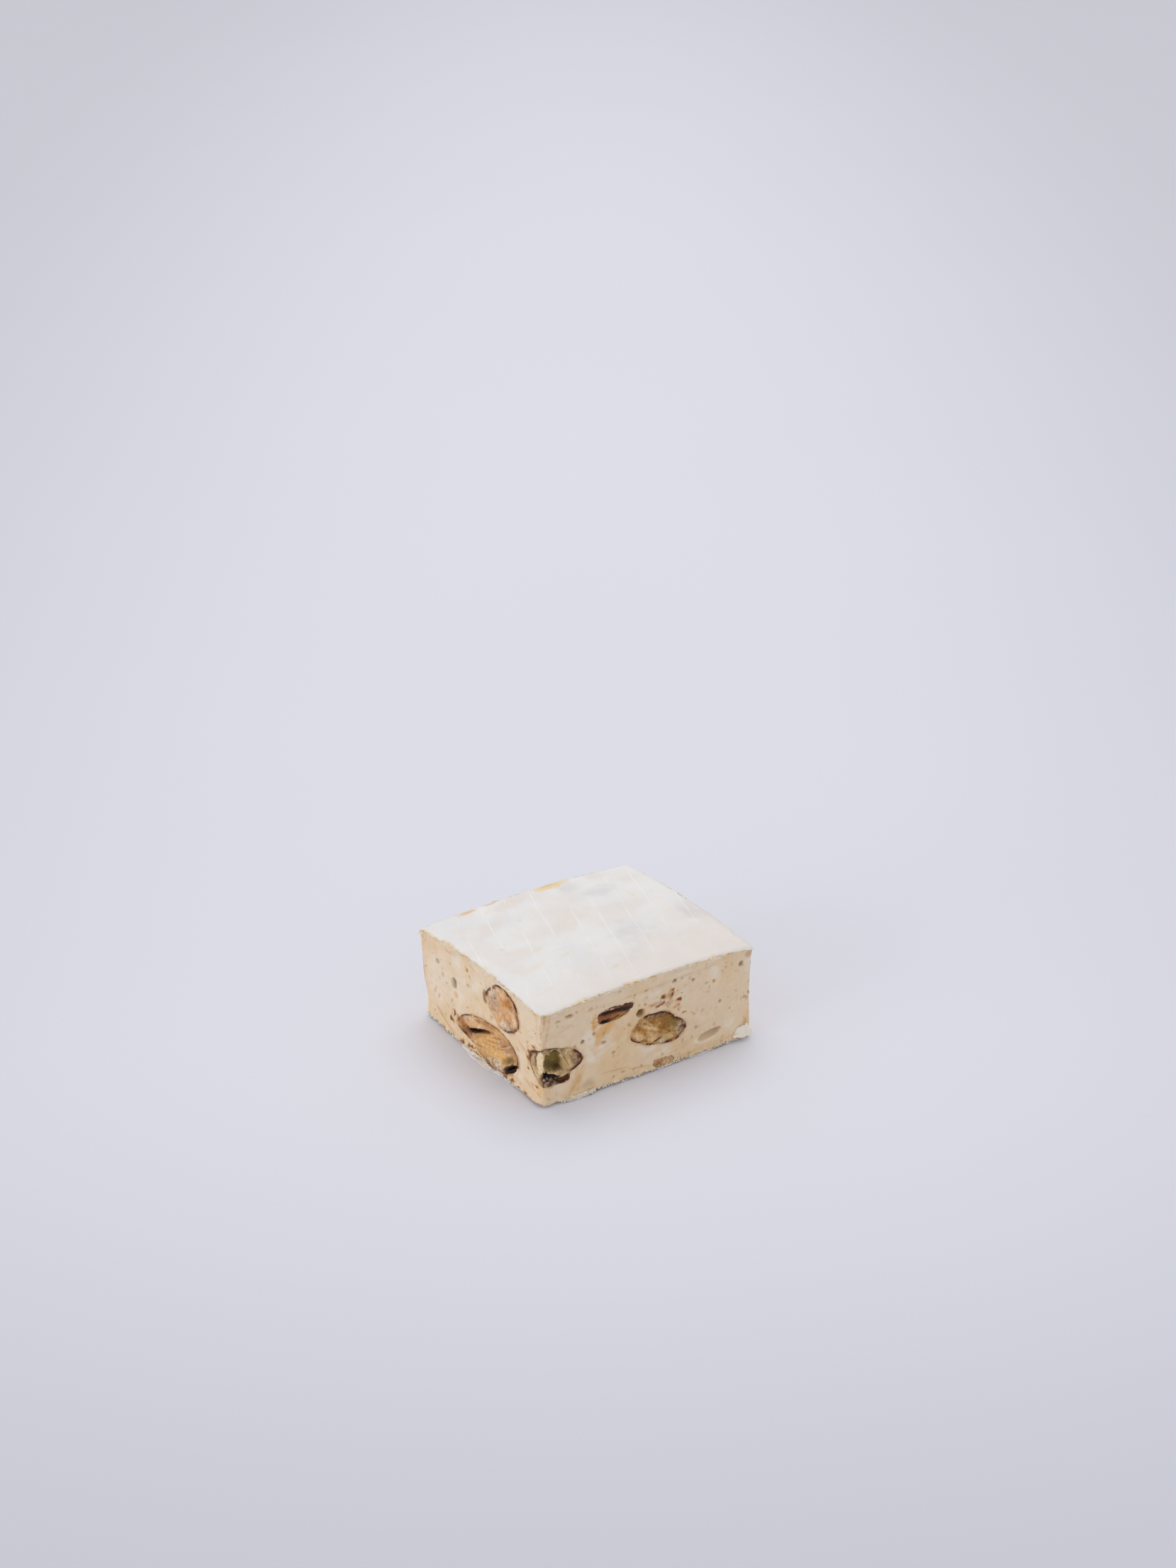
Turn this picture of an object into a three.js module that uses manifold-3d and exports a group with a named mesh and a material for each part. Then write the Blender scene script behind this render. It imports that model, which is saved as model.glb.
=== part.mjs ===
// A cut bar of soft almond nougat: a block between two sheets of wafer paper, with the almonds that the knife
// went through showing in its four sides. Millimetres, +Z up, origin under the middle of the bar, X along its
// longer side. The two sides with the best view are the front (-Y) and the left one (-X).
import * as THREE from "three";
import { mergeVertices } from "three/addons/utils/BufferGeometryUtils.js";
import Module from "manifold-3d";

const wasm = await Module();
wasm.setup();

// Driving dimensions of the bar.
const barLength = 50;
const barDepth = 43.4;
const cornerHeight = 20.3;
const domeRise = 1.15;
const waferThickness = 0.45;
const bottomWaferThickness = 0.5;
const sheetGap = 0.05;
const nutGap = 0.3;

// How the knife and its own weight have shaped the block.
const sideBow = 0.5;
const cornerRounding = 0.12;
const backLeftOverhang = 0.75;
const frontBulge = 0.5;
const surfaceUnevenness = 0.12;
const crumbledEdge = 0.25;

// How far the torn edge of the bottom sheet stands out, at most, and how far it stays back elsewhere.
const flapReach = 2.1;
const sheetSetback = 0.3;

// Facets.
const blockSegments = [14, 12, 6];
const bottomSheetSegments = [20, 18];
const nutSegments = [14, 9];
const pocketSegments = [12, 8];
const bubbleSegments = [8, 4];

const materials = {
  nougat: new THREE.MeshStandardMaterial({ color: 0xdcc6a6, roughness: 0.62, metalness: 0 }),
  wafer: new THREE.MeshStandardMaterial({ color: 0xefebe8, roughness: 0.85, metalness: 0 }),
  almond: new THREE.MeshStandardMaterial({ color: 0xb8813f, roughness: 0.6, metalness: 0 }),
  skin: new THREE.MeshStandardMaterial({ color: 0x54290f, roughness: 0.7, metalness: 0 }),
};

// Each side of the block: the place of a point that is `along` mm from the side's middle, `height` mm up and
// `inward` mm deep, and the turn that lays an upright shape's X along that side.
const halfLength = barLength / 2;
const halfDepth = barDepth / 2;
const sides = {
  front: { place: (along, height, inward) => [along, -halfDepth + inward, height], turn: 0 },
  left: { place: (along, height, inward) => [-halfLength + inward, along, height], turn: Math.PI / 2 },
  back: { place: (along, height, inward) => [along, halfDepth - inward, height], turn: 0 },
  right: { place: (along, height, inward) => [halfLength - inward, along, height], turn: Math.PI / 2 },
};

// The almonds. half: half of length, height and depth as cut, tilt in degrees within the side, taper: how much
// thinner the one end is. A hollow is where the two halves of the kernel have parted, placed from the nut's middle.
const almonds = [
  {
    name: "almond_upper_left", side: "left", along: -7.8, height: 15.6, inward: 0.4,
    half: [6.4, 4.9, 5.6], tilt: 8, taper: 0.14,
  },
  {
    name: "almond_lower_left", side: "left", along: -1.9, height: 5.2, inward: 0.3,
    half: [11.6, 4.2, 5.2], tilt: 0, taper: 0.16,
    hollows: [
      { at: [4.2, 0.8, -0.3], half: [4.4, 0.75, 2.2], tilt: -6 },
      { at: [-8.3, -1.4, -0.2], half: [1.9, 1.35, 2.4], tilt: 18 },
    ],
  },
  {
    name: "almond_corner", side: "front", along: -20.9, height: 7.9, inward: 0.9,
    half: [6.2, 4.25, 5.2], tilt: -6, taper: -0.12,
    hollows: [{ at: [-0.9, -0.5, -1.2], half: [2.2, 2.1, 2.9], tilt: 0 }],
  },
  {
    name: "almond_sliver", side: "front", along: -7.6, height: 15.5, inward: 0.6,
    half: [4.5, 1.25, 2.8], tilt: 3, taper: 0.1, skinOnly: true,
  },
  {
    name: "almond_front", side: "front", along: 2.6, height: 8.8, inward: 0.4,
    half: [7.2, 3.8, 5.4], tilt: -12, taper: 0.12,
  },
  {
    name: "almond_chip", side: "front", along: 3.8, height: 1.0, inward: 0.3,
    half: [3.1, 1.3, 1.8], tilt: -4, taper: 0,
  },
  {
    name: "almond_right_rear", side: "right", along: 9.4, height: 12.6, inward: 0.5,
    half: [6.6, 4.1, 5.2], tilt: 22, taper: 0.14,
  },
  {
    name: "almond_right_front", side: "right", along: -9.2, height: 6.6, inward: 0.5,
    half: [7.6, 3.7, 5], tilt: -28, taper: 0.16,
    hollows: [{ at: [-0.6, 0.2, -0.3], half: [3.4, 0.7, 1.9], tilt: 6 }],
  },
  {
    name: "almond_right_sliver", side: "right", along: -3.4, height: 16.2, inward: 0.6,
    half: [4.1, 1.1, 2.6], tilt: -8, taper: 0.1, skinOnly: true,
  },
  {
    name: "almond_back_left", side: "back", along: -11.6, height: 8.1, inward: 0.5,
    half: [7.4, 4.2, 5.4], tilt: 14, taper: 0.15,
  },
  {
    name: "almond_back_middle", side: "back", along: 3.2, height: 14.6, inward: 0.5,
    half: [5.4, 3.9, 5], tilt: -24, taper: 0.12,
  },
  {
    name: "almond_back_right", side: "back", along: 15.2, height: 6.4, inward: 0.5,
    half: [6.4, 4, 5.2], tilt: 8, taper: -0.14,
    hollows: [{ at: [0.4, -0.1, -0.6], half: [2.6, 1.6, 2.3], tilt: -12 }],
  },
];

// The air bubbles that the knife opened: along and up as above, then half their length and half their height.
const bubbles = [
  { side: "front", along: 14.8, height: 3.6, half: [3, 0.85] },
  { side: "front", along: 22.3, height: 17.1, half: [0.65, 0.6] },
  { side: "front", along: 6, height: 18.1, half: [0.55, 0.45] },
  { side: "front", along: 10.8, height: 17, half: [0.45, 0.4] },
  { side: "front", along: -1.8, height: 13.9, half: [0.85, 0.8] },
  { side: "front", along: -18.2, height: 18.3, half: [0.7, 0.4] },
  { side: "front", along: -15.4, height: 11.6, half: [0.5, 0.45] },
  { side: "left", along: 16.1, height: 15.1, half: [0.65, 0.55] },
  { side: "left", along: 10.8, height: 12.3, half: [0.8, 1.05] },
  { side: "left", along: 4.9, height: 14.6, half: [0.45, 0.5] },
  { side: "right", along: -16.5, height: 14.6, half: [0.7, 0.6] },
  { side: "right", along: 2.2, height: 5.1, half: [1.6, 0.6] },
  { side: "right", along: 17, height: 6.2, half: [0.6, 0.7] },
  { side: "back", along: 13.6, height: 15.9, half: [0.8, 0.6] },
  { side: "back", along: -3.2, height: 4.6, half: [1.9, 0.7] },
  { side: "back", along: -20.6, height: 15.4, half: [0.6, 0.75] },
];
const bubbleDepth = 0.7;

// A smooth, repeatable unevenness between -1 and 1.
function waves(a, b, c) {
  return (
    0.5 * Math.sin(1.7 * a + 0.9 * b + 2.3 * c) +
    0.3 * Math.sin(2.9 * b - 1.3 * a + 1.1 * c + 1.9) +
    0.2 * Math.sin(4.3 * c + 3.1 * a - 2.2 * b + 0.7)
  );
}

// The height of the block's top under the sheet: it droops from the middle towards the four corners.
function topOf(u, v) {
  return cornerHeight - waferThickness + domeRise * (1 - (u * v) ** 2);
}

// Where a point of the unit box lands on the block: u and v from -1 to 1 across it, w from 0 to 1 up it.
function blockPoint(u, v, w) {
  const bow = sideBow * Math.sin(Math.PI * w) ** 0.8;
  const corner = cornerRounding * (u * v) ** 14;
  const lean = backLeftOverhang * Math.tanh(5 * (w - 0.33)) * Math.max(0, -u) ** 3 * Math.max(0, v) ** 2;
  const bulge = frontBulge * Math.max(0, -v) ** 3 * (1 - u * u) * (1 - w) ** 2;
  const rough = surfaceUnevenness * waves(4 * u, 4 * v, 5 * w);
  const crumble = w === 0 ? crumbledEdge * Math.abs(waves(9 * u + 2, 11 * v, 3)) : 0;
  const inward = bow + corner + crumble;
  const x = u * (halfLength - (inward + rough) * Math.abs(u) ** 3) - lean;
  const y = v * (halfDepth - (inward - rough) * Math.abs(v) ** 3) - bulge;
  const bottom = bottomWaferThickness + sheetGap;
  return new THREE.Vector3(x, y, bottom + w * (topOf(u, v) - sheetGap - bottom));
}

// A point of the top sheet, which lies on the block and is thinner at its rim.
function topSheetPoint(u, v, upper) {
  const point = blockPoint(u, v, 1);
  const thin = 1 - 0.35 * Math.max(0, Math.abs(u) - 0.9, Math.abs(v) - 0.9) * 10;
  point.z += sheetGap + (upper ? waferThickness * thin : 0);
  return point;
}

// The torn outline of the bottom sheet, where a flap stands out of each side and the rest stays under the block.
const flaps = [
  { side: "left", along: -7, halfWidth: 12, reach: 1 },
  { side: "front", along: -14.5, halfWidth: 5, reach: 0.75 },
  { side: "front", along: 4, halfWidth: 16, reach: 0.6 },
  { side: "right", along: 4, halfWidth: 8, reach: 1 },
  { side: "right", along: -14, halfWidth: 6, reach: 0.4 },
  { side: "back", along: -6, halfWidth: 9, reach: 0.75 },
  { side: "back", along: 15, halfWidth: 7, reach: 0.5 },
];

function flapAt(side, along) {
  return flaps
    .filter((flap) => flap.side === side)
    .map((flap) => flap.reach * (1 - ((along - flap.along) / flap.halfWidth) ** 2))
    .reduce((most, reach) => Math.max(most, reach), 0);
}

// Spreads -1 to 1 evenly over the block's width, with the outer tenth drawn out or in to the torn edge.
function spread(t, half, reach) {
  const outer = Math.max(0, Math.abs(t) - 0.9) * 10 * (reach - 0.9 * half);
  return Math.sign(t) * (Math.min(Math.abs(t), 0.9) * half + outer);
}

function bottomSheetPoint(u, v, upper) {
  const overX = flapAt(u < 0 ? "left" : "right", v * halfDepth);
  const overY = flapAt(v < 0 ? "front" : "back", u * halfLength);
  const tear = sheetSetback * (1 + 0.8 * waves(13 * u, 14 * v, 2.2));
  const reachX = halfLength - tear + (flapReach + tear) * overX ** 0.6;
  const reachY = halfDepth - tear + (flapReach + tear) * overY ** 0.6;
  const height = upper ? bottomWaferThickness : 0;
  return new THREE.Vector3(spread(u, halfLength, reachX), spread(v, halfDepth, reachY), height);
}

// A closed three.js geometry as a solid, and a solid as a geometry.
function solidFrom(geometry) {
  const bare = geometry.clone();
  bare.deleteAttribute("normal");
  bare.deleteAttribute("uv");
  const merged = mergeVertices(bare, 1e-4);
  return new wasm.Manifold(
    new wasm.Mesh({
      numProp: 3,
      vertProperties: merged.attributes.position.array,
      triVerts: new Uint32Array(merged.index.array),
    }),
  );
}

function geometryFrom(solid) {
  const largest = solid.decompose().reduce((a, b) => (a.volume() > b.volume() ? a : b));
  const mesh = largest.getMesh();
  const geometry = new THREE.BufferGeometry();
  geometry.setAttribute("position", new THREE.BufferAttribute(mesh.vertProperties, mesh.numProp));
  geometry.setIndex(new THREE.BufferAttribute(mesh.triVerts, 1));
  geometry.computeVertexNormals();
  return geometry;
}

// Moves every vertex of a box from -1 to 1 in X and Y and from 0 to 1 in Z to where `pointOf` says.
function shapedBox([across, deep, high], pointOf) {
  const box = new THREE.BoxGeometry(2, 2, 1, across, deep, high).translate(0, 0, 0.5);
  const position = box.attributes.position;
  for (let i = 0; i < position.count; i++) {
    const moved = pointOf(position.getX(i), position.getY(i), position.getZ(i));
    position.setXYZ(i, moved.x, moved.y, moved.z);
  }
  return box;
}

// An almond or a bubble: a ball with these half sizes, tapered along its length, then tilted and put in its side.
function nutShape({ side, along, height, inward, half, tilt, taper = 0 }, grown = 0, segments = nutSegments) {
  const ball = new THREE.SphereGeometry(1, ...segments).rotateZ(Math.PI / 2);
  const position = ball.attributes.position;
  for (let i = 0; i < position.count; i++) {
    const t = position.getX(i);
    const width = 1 - taper * t - 0.06 * t * t;
    position.setXYZ(
      i,
      t * (half[0] + grown),
      position.getZ(i) * width * (half[2] + grown),
      position.getY(i) * width * (half[1] + grown),
    );
  }
  // Swapping two axes above turned the ball inside out, so each triangle is turned back.
  const index = ball.index.array;
  for (let i = 0; i < index.length; i += 3) [index[i + 1], index[i + 2]] = [index[i + 2], index[i + 1]];
  const spot = sides[side];
  return ball
    .rotateY(THREE.MathUtils.degToRad(-tilt))
    .rotateZ(spot.turn)
    .translate(...spot.place(along, height, inward));
}

// A hollow of an almond, whose middle and tilt are counted from the almond's own.
function hollowShape(nut, hollow) {
  return nutShape({
    side: nut.side,
    along: nut.along + hollow.at[0],
    height: nut.height + hollow.at[1],
    inward: nut.inward + hollow.at[2],
    half: hollow.half,
    tilt: nut.tilt + hollow.tilt,
  }, 0, bubbleSegments);
}

function bubbleShape({ side, along, height, half }) {
  const inward = sideBow * Math.sin((Math.PI * height) / cornerHeight) ** 0.8;
  return nutShape({ side, along, height, inward, half: [...half, bubbleDepth], tilt: 5 }, 0, bubbleSegments);
}

const wholeBlock = solidFrom(shapedBox(blockSegments, blockPoint));

function nougat() {
  const pockets = almonds.map((nut) => solidFrom(nutShape(nut, nutGap, pocketSegments)));
  const pits = bubbles.map((bubble) => solidFrom(bubbleShape(bubble)));
  return geometryFrom([...pockets, ...pits].reduce((block, cut) => block.subtract(cut), wholeBlock));
}

function almond(nut) {
  const cut = solidFrom(nutShape(nut)).intersect(wholeBlock);
  const hollows = (nut.hollows ?? []).map((hollow) => solidFrom(hollowShape(nut, hollow)));
  return geometryFrom(hollows.reduce((kernel, hollow) => kernel.subtract(hollow), cut));
}

// A closed sheet whose two faces split into triangles alike, as the block's top does, with a wall round its rim.
function thinSheet([across, deep], pointOf) {
  const grid = new THREE.PlaneGeometry(2, 2, across, deep);
  const flat = grid.attributes.position;
  const count = flat.count;
  const points = new Float32Array(6 * count);
  for (let i = 0; i < count; i++) {
    pointOf(flat.getX(i), flat.getY(i), true).toArray(points, 3 * i);
    pointOf(flat.getX(i), flat.getY(i), false).toArray(points, 3 * (i + count));
  }
  const index = [];
  for (let i = 0; i < grid.index.count; i += 3) {
    const [a, b, c] = grid.index.array.subarray(i, i + 3);
    index.push(a, b, c, a + count, c + count, b + count);
  }
  const row = across + 1;
  const rim = [];
  for (let i = 0; i < across; i++) rim.push(i);
  for (let j = 0; j < deep; j++) rim.push(across + j * row);
  for (let i = across; i > 0; i--) rim.push(deep * row + i);
  for (let j = deep; j > 0; j--) rim.push(j * row);
  rim.forEach((a, k) => {
    const b = rim[(k + 1) % rim.length];
    index.push(a, b, b + count, a, b + count, a + count);
  });
  const geometry = new THREE.BufferGeometry();
  geometry.setAttribute("position", new THREE.BufferAttribute(points, 3));
  geometry.setIndex(index);
  geometry.computeVertexNormals();
  return geometry;
}

function named(name, geometry, material) {
  const mesh = new THREE.Mesh(geometry, material);
  mesh.name = name;
  return mesh;
}

const bar = new THREE.Group();
bar.add(named("nougat", nougat(), materials.nougat));
bar.add(named("wafer_top", thinSheet(blockSegments, topSheetPoint), materials.wafer));
bar.add(named("wafer_bottom", thinSheet(bottomSheetSegments, bottomSheetPoint), materials.wafer));
for (const nut of almonds) bar.add(named(nut.name, almond(nut), nut.skinOnly ? materials.skin : materials.almond));

export default bar;
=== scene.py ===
# A cut bar of soft almond nougat between two sheets of wafer paper, on a pale floor.
# Shapes are worked out in millimetres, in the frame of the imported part, and become metres in the mesh.
import bpy
import numpy as np
from mathutils import Matrix


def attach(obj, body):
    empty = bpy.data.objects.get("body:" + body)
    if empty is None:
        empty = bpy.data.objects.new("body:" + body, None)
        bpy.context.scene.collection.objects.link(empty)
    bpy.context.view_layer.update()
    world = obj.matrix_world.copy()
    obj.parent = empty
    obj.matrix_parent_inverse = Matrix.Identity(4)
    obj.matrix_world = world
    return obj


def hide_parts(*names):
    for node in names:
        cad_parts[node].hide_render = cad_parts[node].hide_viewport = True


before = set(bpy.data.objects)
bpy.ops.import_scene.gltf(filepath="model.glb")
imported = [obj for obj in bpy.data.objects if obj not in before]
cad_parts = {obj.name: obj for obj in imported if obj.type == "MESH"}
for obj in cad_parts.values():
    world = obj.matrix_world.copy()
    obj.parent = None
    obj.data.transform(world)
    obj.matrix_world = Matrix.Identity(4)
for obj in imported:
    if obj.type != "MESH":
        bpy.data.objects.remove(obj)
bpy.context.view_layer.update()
mm = 0.001


# Shared tools: colours, smooth steps, noise and the mesh maker.

def srgb(red, green, blue):
    # Screen colour, 0 to 255, as linear light.
    c = np.array([red, green, blue]) / 255.0
    return np.where(c <= 0.04045, c / 12.92, ((c + 0.055) / 1.055) ** 2.4)


def rise(low, high, x):
    # 0 below low, 1 above high, a smooth cubic between.
    t = np.clip((x - low) / (high - low), 0.0, 1.0)
    return t * t * (3 - 2 * t)


def over(colour, paint, amount):
    # Lays paint over a colour by an amount for each point.
    return colour + (paint - colour) * np.asarray(amount)[..., None]


noiseCells = 32
noiseTable = np.random.default_rng(11).random((noiseCells,) * 3) * 2 - 1


def noise(points, size, shift=0.0):
    # Random values on a lattice of cells `size` mm wide, blended smoothly between the eight corners.
    q = points / size + shift
    cell = np.floor(q).astype(int)
    t = q - cell
    t = t * t * (3 - 2 * t)
    total = 0.0
    for corner in np.ndindex(2, 2, 2):
        weight = np.prod(np.where(np.array(corner) > 0, t, 1 - t), axis=-1)
        i, j, k = np.moveaxis((cell + corner) % noiseCells, -1, 0)
        total = total + weight * noiseTable[i, j, k]
    return total


def cloud(points, size, shift=0.0, layers=3):
    # Noise with finer noise on top, each layer half the size and half the strength of the last.
    return sum(noise(points, size / 2**k, shift + 5.7 * k) / 2**k for k in range(layers)) / 1.5


def mixed(points, layers):
    # Several noises added up: which kind, its strength, size and shift.
    return sum(strength * kind(points, size, shift) for kind, strength, size, shift in layers)


def washed(colour, spaces, tones, washes):
    # Tints laid over a colour where a noise is high: which tint, its strength, the noise's level where it
    # starts and where it is full, which kind of noise, in which space, its size and shift.
    for tone, strength, low, high, kind, space, size, shift in washes:
        colour = over(colour, tones[tone], strength * rise(low, high, kind(spaces[space], size, shift)))
    return colour


def paintMesh(mesh, paint):
    # One colour for each point, in linear light.
    layer = mesh.color_attributes.new("paint", "FLOAT_COLOR", "POINT")
    rgba = np.concatenate([paint, np.ones((len(paint), 1))], axis=1)
    layer.data.foreach_set("color", rgba.astype(np.float32).ravel())


def makePiece(name, points, faces, material, nodes=(), paint=None):
    # A closed mesh from arrays: points in mm, faces grouped by their corners, a colour for each point.
    mesh = bpy.data.meshes.new(name)
    corners = np.concatenate([f.ravel() for f in faces]).astype(np.int32)
    sizes = np.concatenate([np.full(len(f), f.shape[1]) for f in faces])
    mesh.vertices.add(len(points))
    mesh.vertices.foreach_set("co", (points * mm).astype(np.float32).ravel())
    mesh.loops.add(len(corners))
    mesh.loops.foreach_set("vertex_index", corners)
    mesh.polygons.add(len(sizes))
    starts = np.concatenate([[0], np.cumsum(sizes)[:-1]]).astype(np.int32)
    mesh.polygons.foreach_set("loop_start", starts)
    mesh.polygons.foreach_set("use_smooth", np.ones(len(sizes), dtype=bool))
    mesh.update(calc_edges=True)
    if paint is not None:
        paintMesh(mesh, np.clip(paint, 0.0, 1.0))
    mesh.materials.append(material)
    piece = bpy.data.objects.new(name, mesh)
    bpy.context.scene.collection.objects.link(piece)
    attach(piece, "root")
    if nodes:
        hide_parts(*nodes)
    return piece


def gridFaces(rows, columns, loop):
    # Four-cornered faces between neighbouring rows; `loop` joins the last column to the first.
    r = np.arange(rows - 1)[:, None]
    c = np.arange(columns if loop else columns - 1)[None, :]
    after = (c + 1) % columns
    a = r * columns
    b = a + columns
    return np.stack([a + c, a + after, b + after, b + c], -1).reshape(-1, 4)


def fanFaces(rim, tip):
    # Three-cornered faces from a closed rim to one tip.
    return np.stack([rim, np.roll(rim, -1), np.full(len(rim), tip)], -1)


def ringFaces(rings, spokes, flip):
    # A stack of rings, closed at each end by a fan to one of the two points that follow them.
    count = rings * spokes
    first = np.arange(spokes)
    walls = gridFaces(rings, spokes, True)
    tips = np.concatenate([fanFaces(first, count)[:, ::-1], fanFaces(count - spokes + first, count + 1)])
    return [walls[:, ::-1], tips[:, ::-1]] if flip else [walls, tips]


def sheetFaces(rows, columns):
    # Two grids, the second lying under the first, joined all round their rim.
    count = rows * columns
    sheet = gridFaces(rows, columns, False)
    index = np.arange(count).reshape(rows, columns)
    rim = np.concatenate([index[0, :-1], index[:-1, -1], index[-1, :0:-1], index[:0:-1, 0]])
    after = np.roll(rim, -1)
    wall = np.stack([rim, rim + count, after + count, after], -1)
    return np.concatenate([sheet, sheet[:, ::-1] + count, wall])


def placed(table):
    # The rows of a table that is sorted by side, each with its side's name in front.
    return [(side, *row) for side, rows in table.items() for row in rows]


# The camera stands where the photograph was taken: angles in degrees, the eye and the sensor in mm, the focal
# length and the picture's height in pixels.

view = {
    "azimuth": -33.96, "elevation": 25.54, "eye": (-283.23, -421.06, 296.30),
    "focalPixels": 4100.0, "imageHeight": 2212, "sensor": 36.0, "clip": (0.01, 50.0),
}


def placeCamera():
    a, e = np.radians(view["azimuth"]), np.radians(view["elevation"])
    right = np.array([np.cos(a), np.sin(a), 0.0])
    back = np.array([np.sin(a) * np.cos(e), -np.cos(a) * np.cos(e), np.sin(e)])
    turn = np.column_stack([right, np.cross(back, right), back])
    data = bpy.data.cameras.new("camera")
    data.sensor_width = view["sensor"]
    data.lens = view["focalPixels"] * view["sensor"] / view["imageHeight"]
    data.clip_start, data.clip_end = view["clip"]
    camera = bpy.data.objects.new("camera", data)
    camera.matrix_world = Matrix.Translation(np.array(view["eye"]) * mm) @ Matrix(turn.tolist()).to_4x4()
    bpy.context.scene.collection.objects.link(camera)
    bpy.context.scene.camera = camera


placeCamera()
print("camera placed")


# Soft light from above, a weaker one low at the left, a pale sky, and a pale floor that runs far back.

studio = {
    "skyColour": (0.97, 0.98, 1.0), "skyStrength": 0.6,
    "floorColour": srgb(228, 229, 239), "floorReach": 6000.0, "floorDrop": 0.08, "floorLines": 160,
    "floorSpacing": 3, "floorRoughness": 0.85, "floorSpecular": 0.2, "grainScale": 9.0, "grainLow": 0.985,
    "fallSide": 270.0, "fallFront": 190.0, "fallBack": 1700.0, "fallBetween": (0.15, 1.1), "fall": 0.2,
}
# direction it comes from, distance and width in mm, power in watts, colour
lights = {
    "key": ((0.22, 0.28, 0.93), 2500.0, 2600.0, 25.0, (1.0, 0.98, 0.95)),
    "fill": ((-0.97, -0.06, 0.18), 2500.0, 1600.0, 14.7, (0.99, 1.0, 1.04)),
}


def lightStudio():
    world = bpy.data.worlds.new("sky")
    world.use_nodes = True
    sky = world.node_tree.nodes["Background"]
    sky.inputs["Color"].default_value = (*studio["skyColour"], 1.0)
    sky.inputs["Strength"].default_value = studio["skyStrength"]
    bpy.context.scene.world = world
    for name, (source, distance, width, power, colour) in lights.items():
        towards = np.array(source) / np.linalg.norm(source)
        side = np.cross([0.0, 0.0, 1.0], towards)
        side = side / np.linalg.norm(side)
        turn = np.column_stack([side, np.cross(towards, side), towards])
        data = bpy.data.lights.new(name, "AREA")
        data.shape = "DISK"
        data.size = width * mm
        data.energy = power
        data.color = colour
        lamp = bpy.data.objects.new(name, data)
        place = Matrix.Translation(towards * distance * mm)
        lamp.matrix_world = place @ Matrix(turn.tolist()).to_4x4()
        bpy.context.scene.collection.objects.link(lamp)
    bpy.context.scene.view_settings.view_transform = "Standard"


def makeFloor():
    # Painted shade: a flat grid, closest near the object, whose tone falls off with distance, slowest away
    # from the camera.
    material = bpy.data.materials.new("paleFloor")
    material.use_nodes = True
    nodes, links = material.node_tree.nodes, material.node_tree.links
    shader = nodes["Principled BSDF"]
    shader.inputs["Roughness"].default_value = studio["floorRoughness"]
    shader.inputs["Specular IOR Level"].default_value = studio["floorSpecular"]
    paint = nodes.new("ShaderNodeAttribute")
    paint.attribute_name = "paint"
    place = nodes.new("ShaderNodeTexCoord")
    grain = nodes.new("ShaderNodeTexNoise")
    grain.inputs["Scale"].default_value = studio["grainScale"]
    links.new(place.outputs["Object"], grain.inputs["Vector"])
    level = nodes.new("ShaderNodeMapRange")
    level.inputs["To Min"].default_value = studio["grainLow"]
    links.new(grain.outputs["Fac"], level.inputs["Value"])
    tone = nodes.new("ShaderNodeVectorMath")
    tone.operation = "SCALE"
    links.new(paint.outputs["Color"], tone.inputs["Vector"])
    links.new(level.outputs["Result"], tone.inputs["Scale"])
    links.new(tone.outputs["Vector"], shader.inputs["Base Color"])
    count = studio["floorLines"]
    line = np.linspace(-1, 1, count)
    line = studio["floorReach"] * np.sign(line) * np.abs(line) ** studio["floorSpacing"]
    x, y = np.meshgrid(line, line)
    turn = np.radians(view["azimuth"])
    aside = (x * np.cos(turn) + y * np.sin(turn)) / studio["fallSide"]
    near = x * np.sin(turn) - y * np.cos(turn)
    near = np.where(near > 0, near / studio["fallFront"], near / studio["fallBack"])
    shade = 1 - studio["fall"] * rise(*studio["fallBetween"], np.hypot(aside, near))
    points = np.stack([x, y, np.full_like(x, -studio["floorDrop"])], -1).reshape(-1, 3) * mm
    mesh = bpy.data.meshes.new("floor")
    mesh.from_pydata(points.tolist(), [], gridFaces(count, count, False).tolist())
    paintMesh(mesh, shade.reshape(-1, 1) * studio["floorColour"])
    mesh.materials.append(material)
    floor = bpy.data.objects.new("floor", mesh)
    bpy.context.scene.collection.objects.link(floor)


lightStudio()
makeFloor()
print("light and floor placed")


# Materials. The colour of every point comes from its paint attribute, and the fine grain, the gloss and the
# unevenness below a tenth of a millimetre come from noise on Object coordinates.

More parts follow.
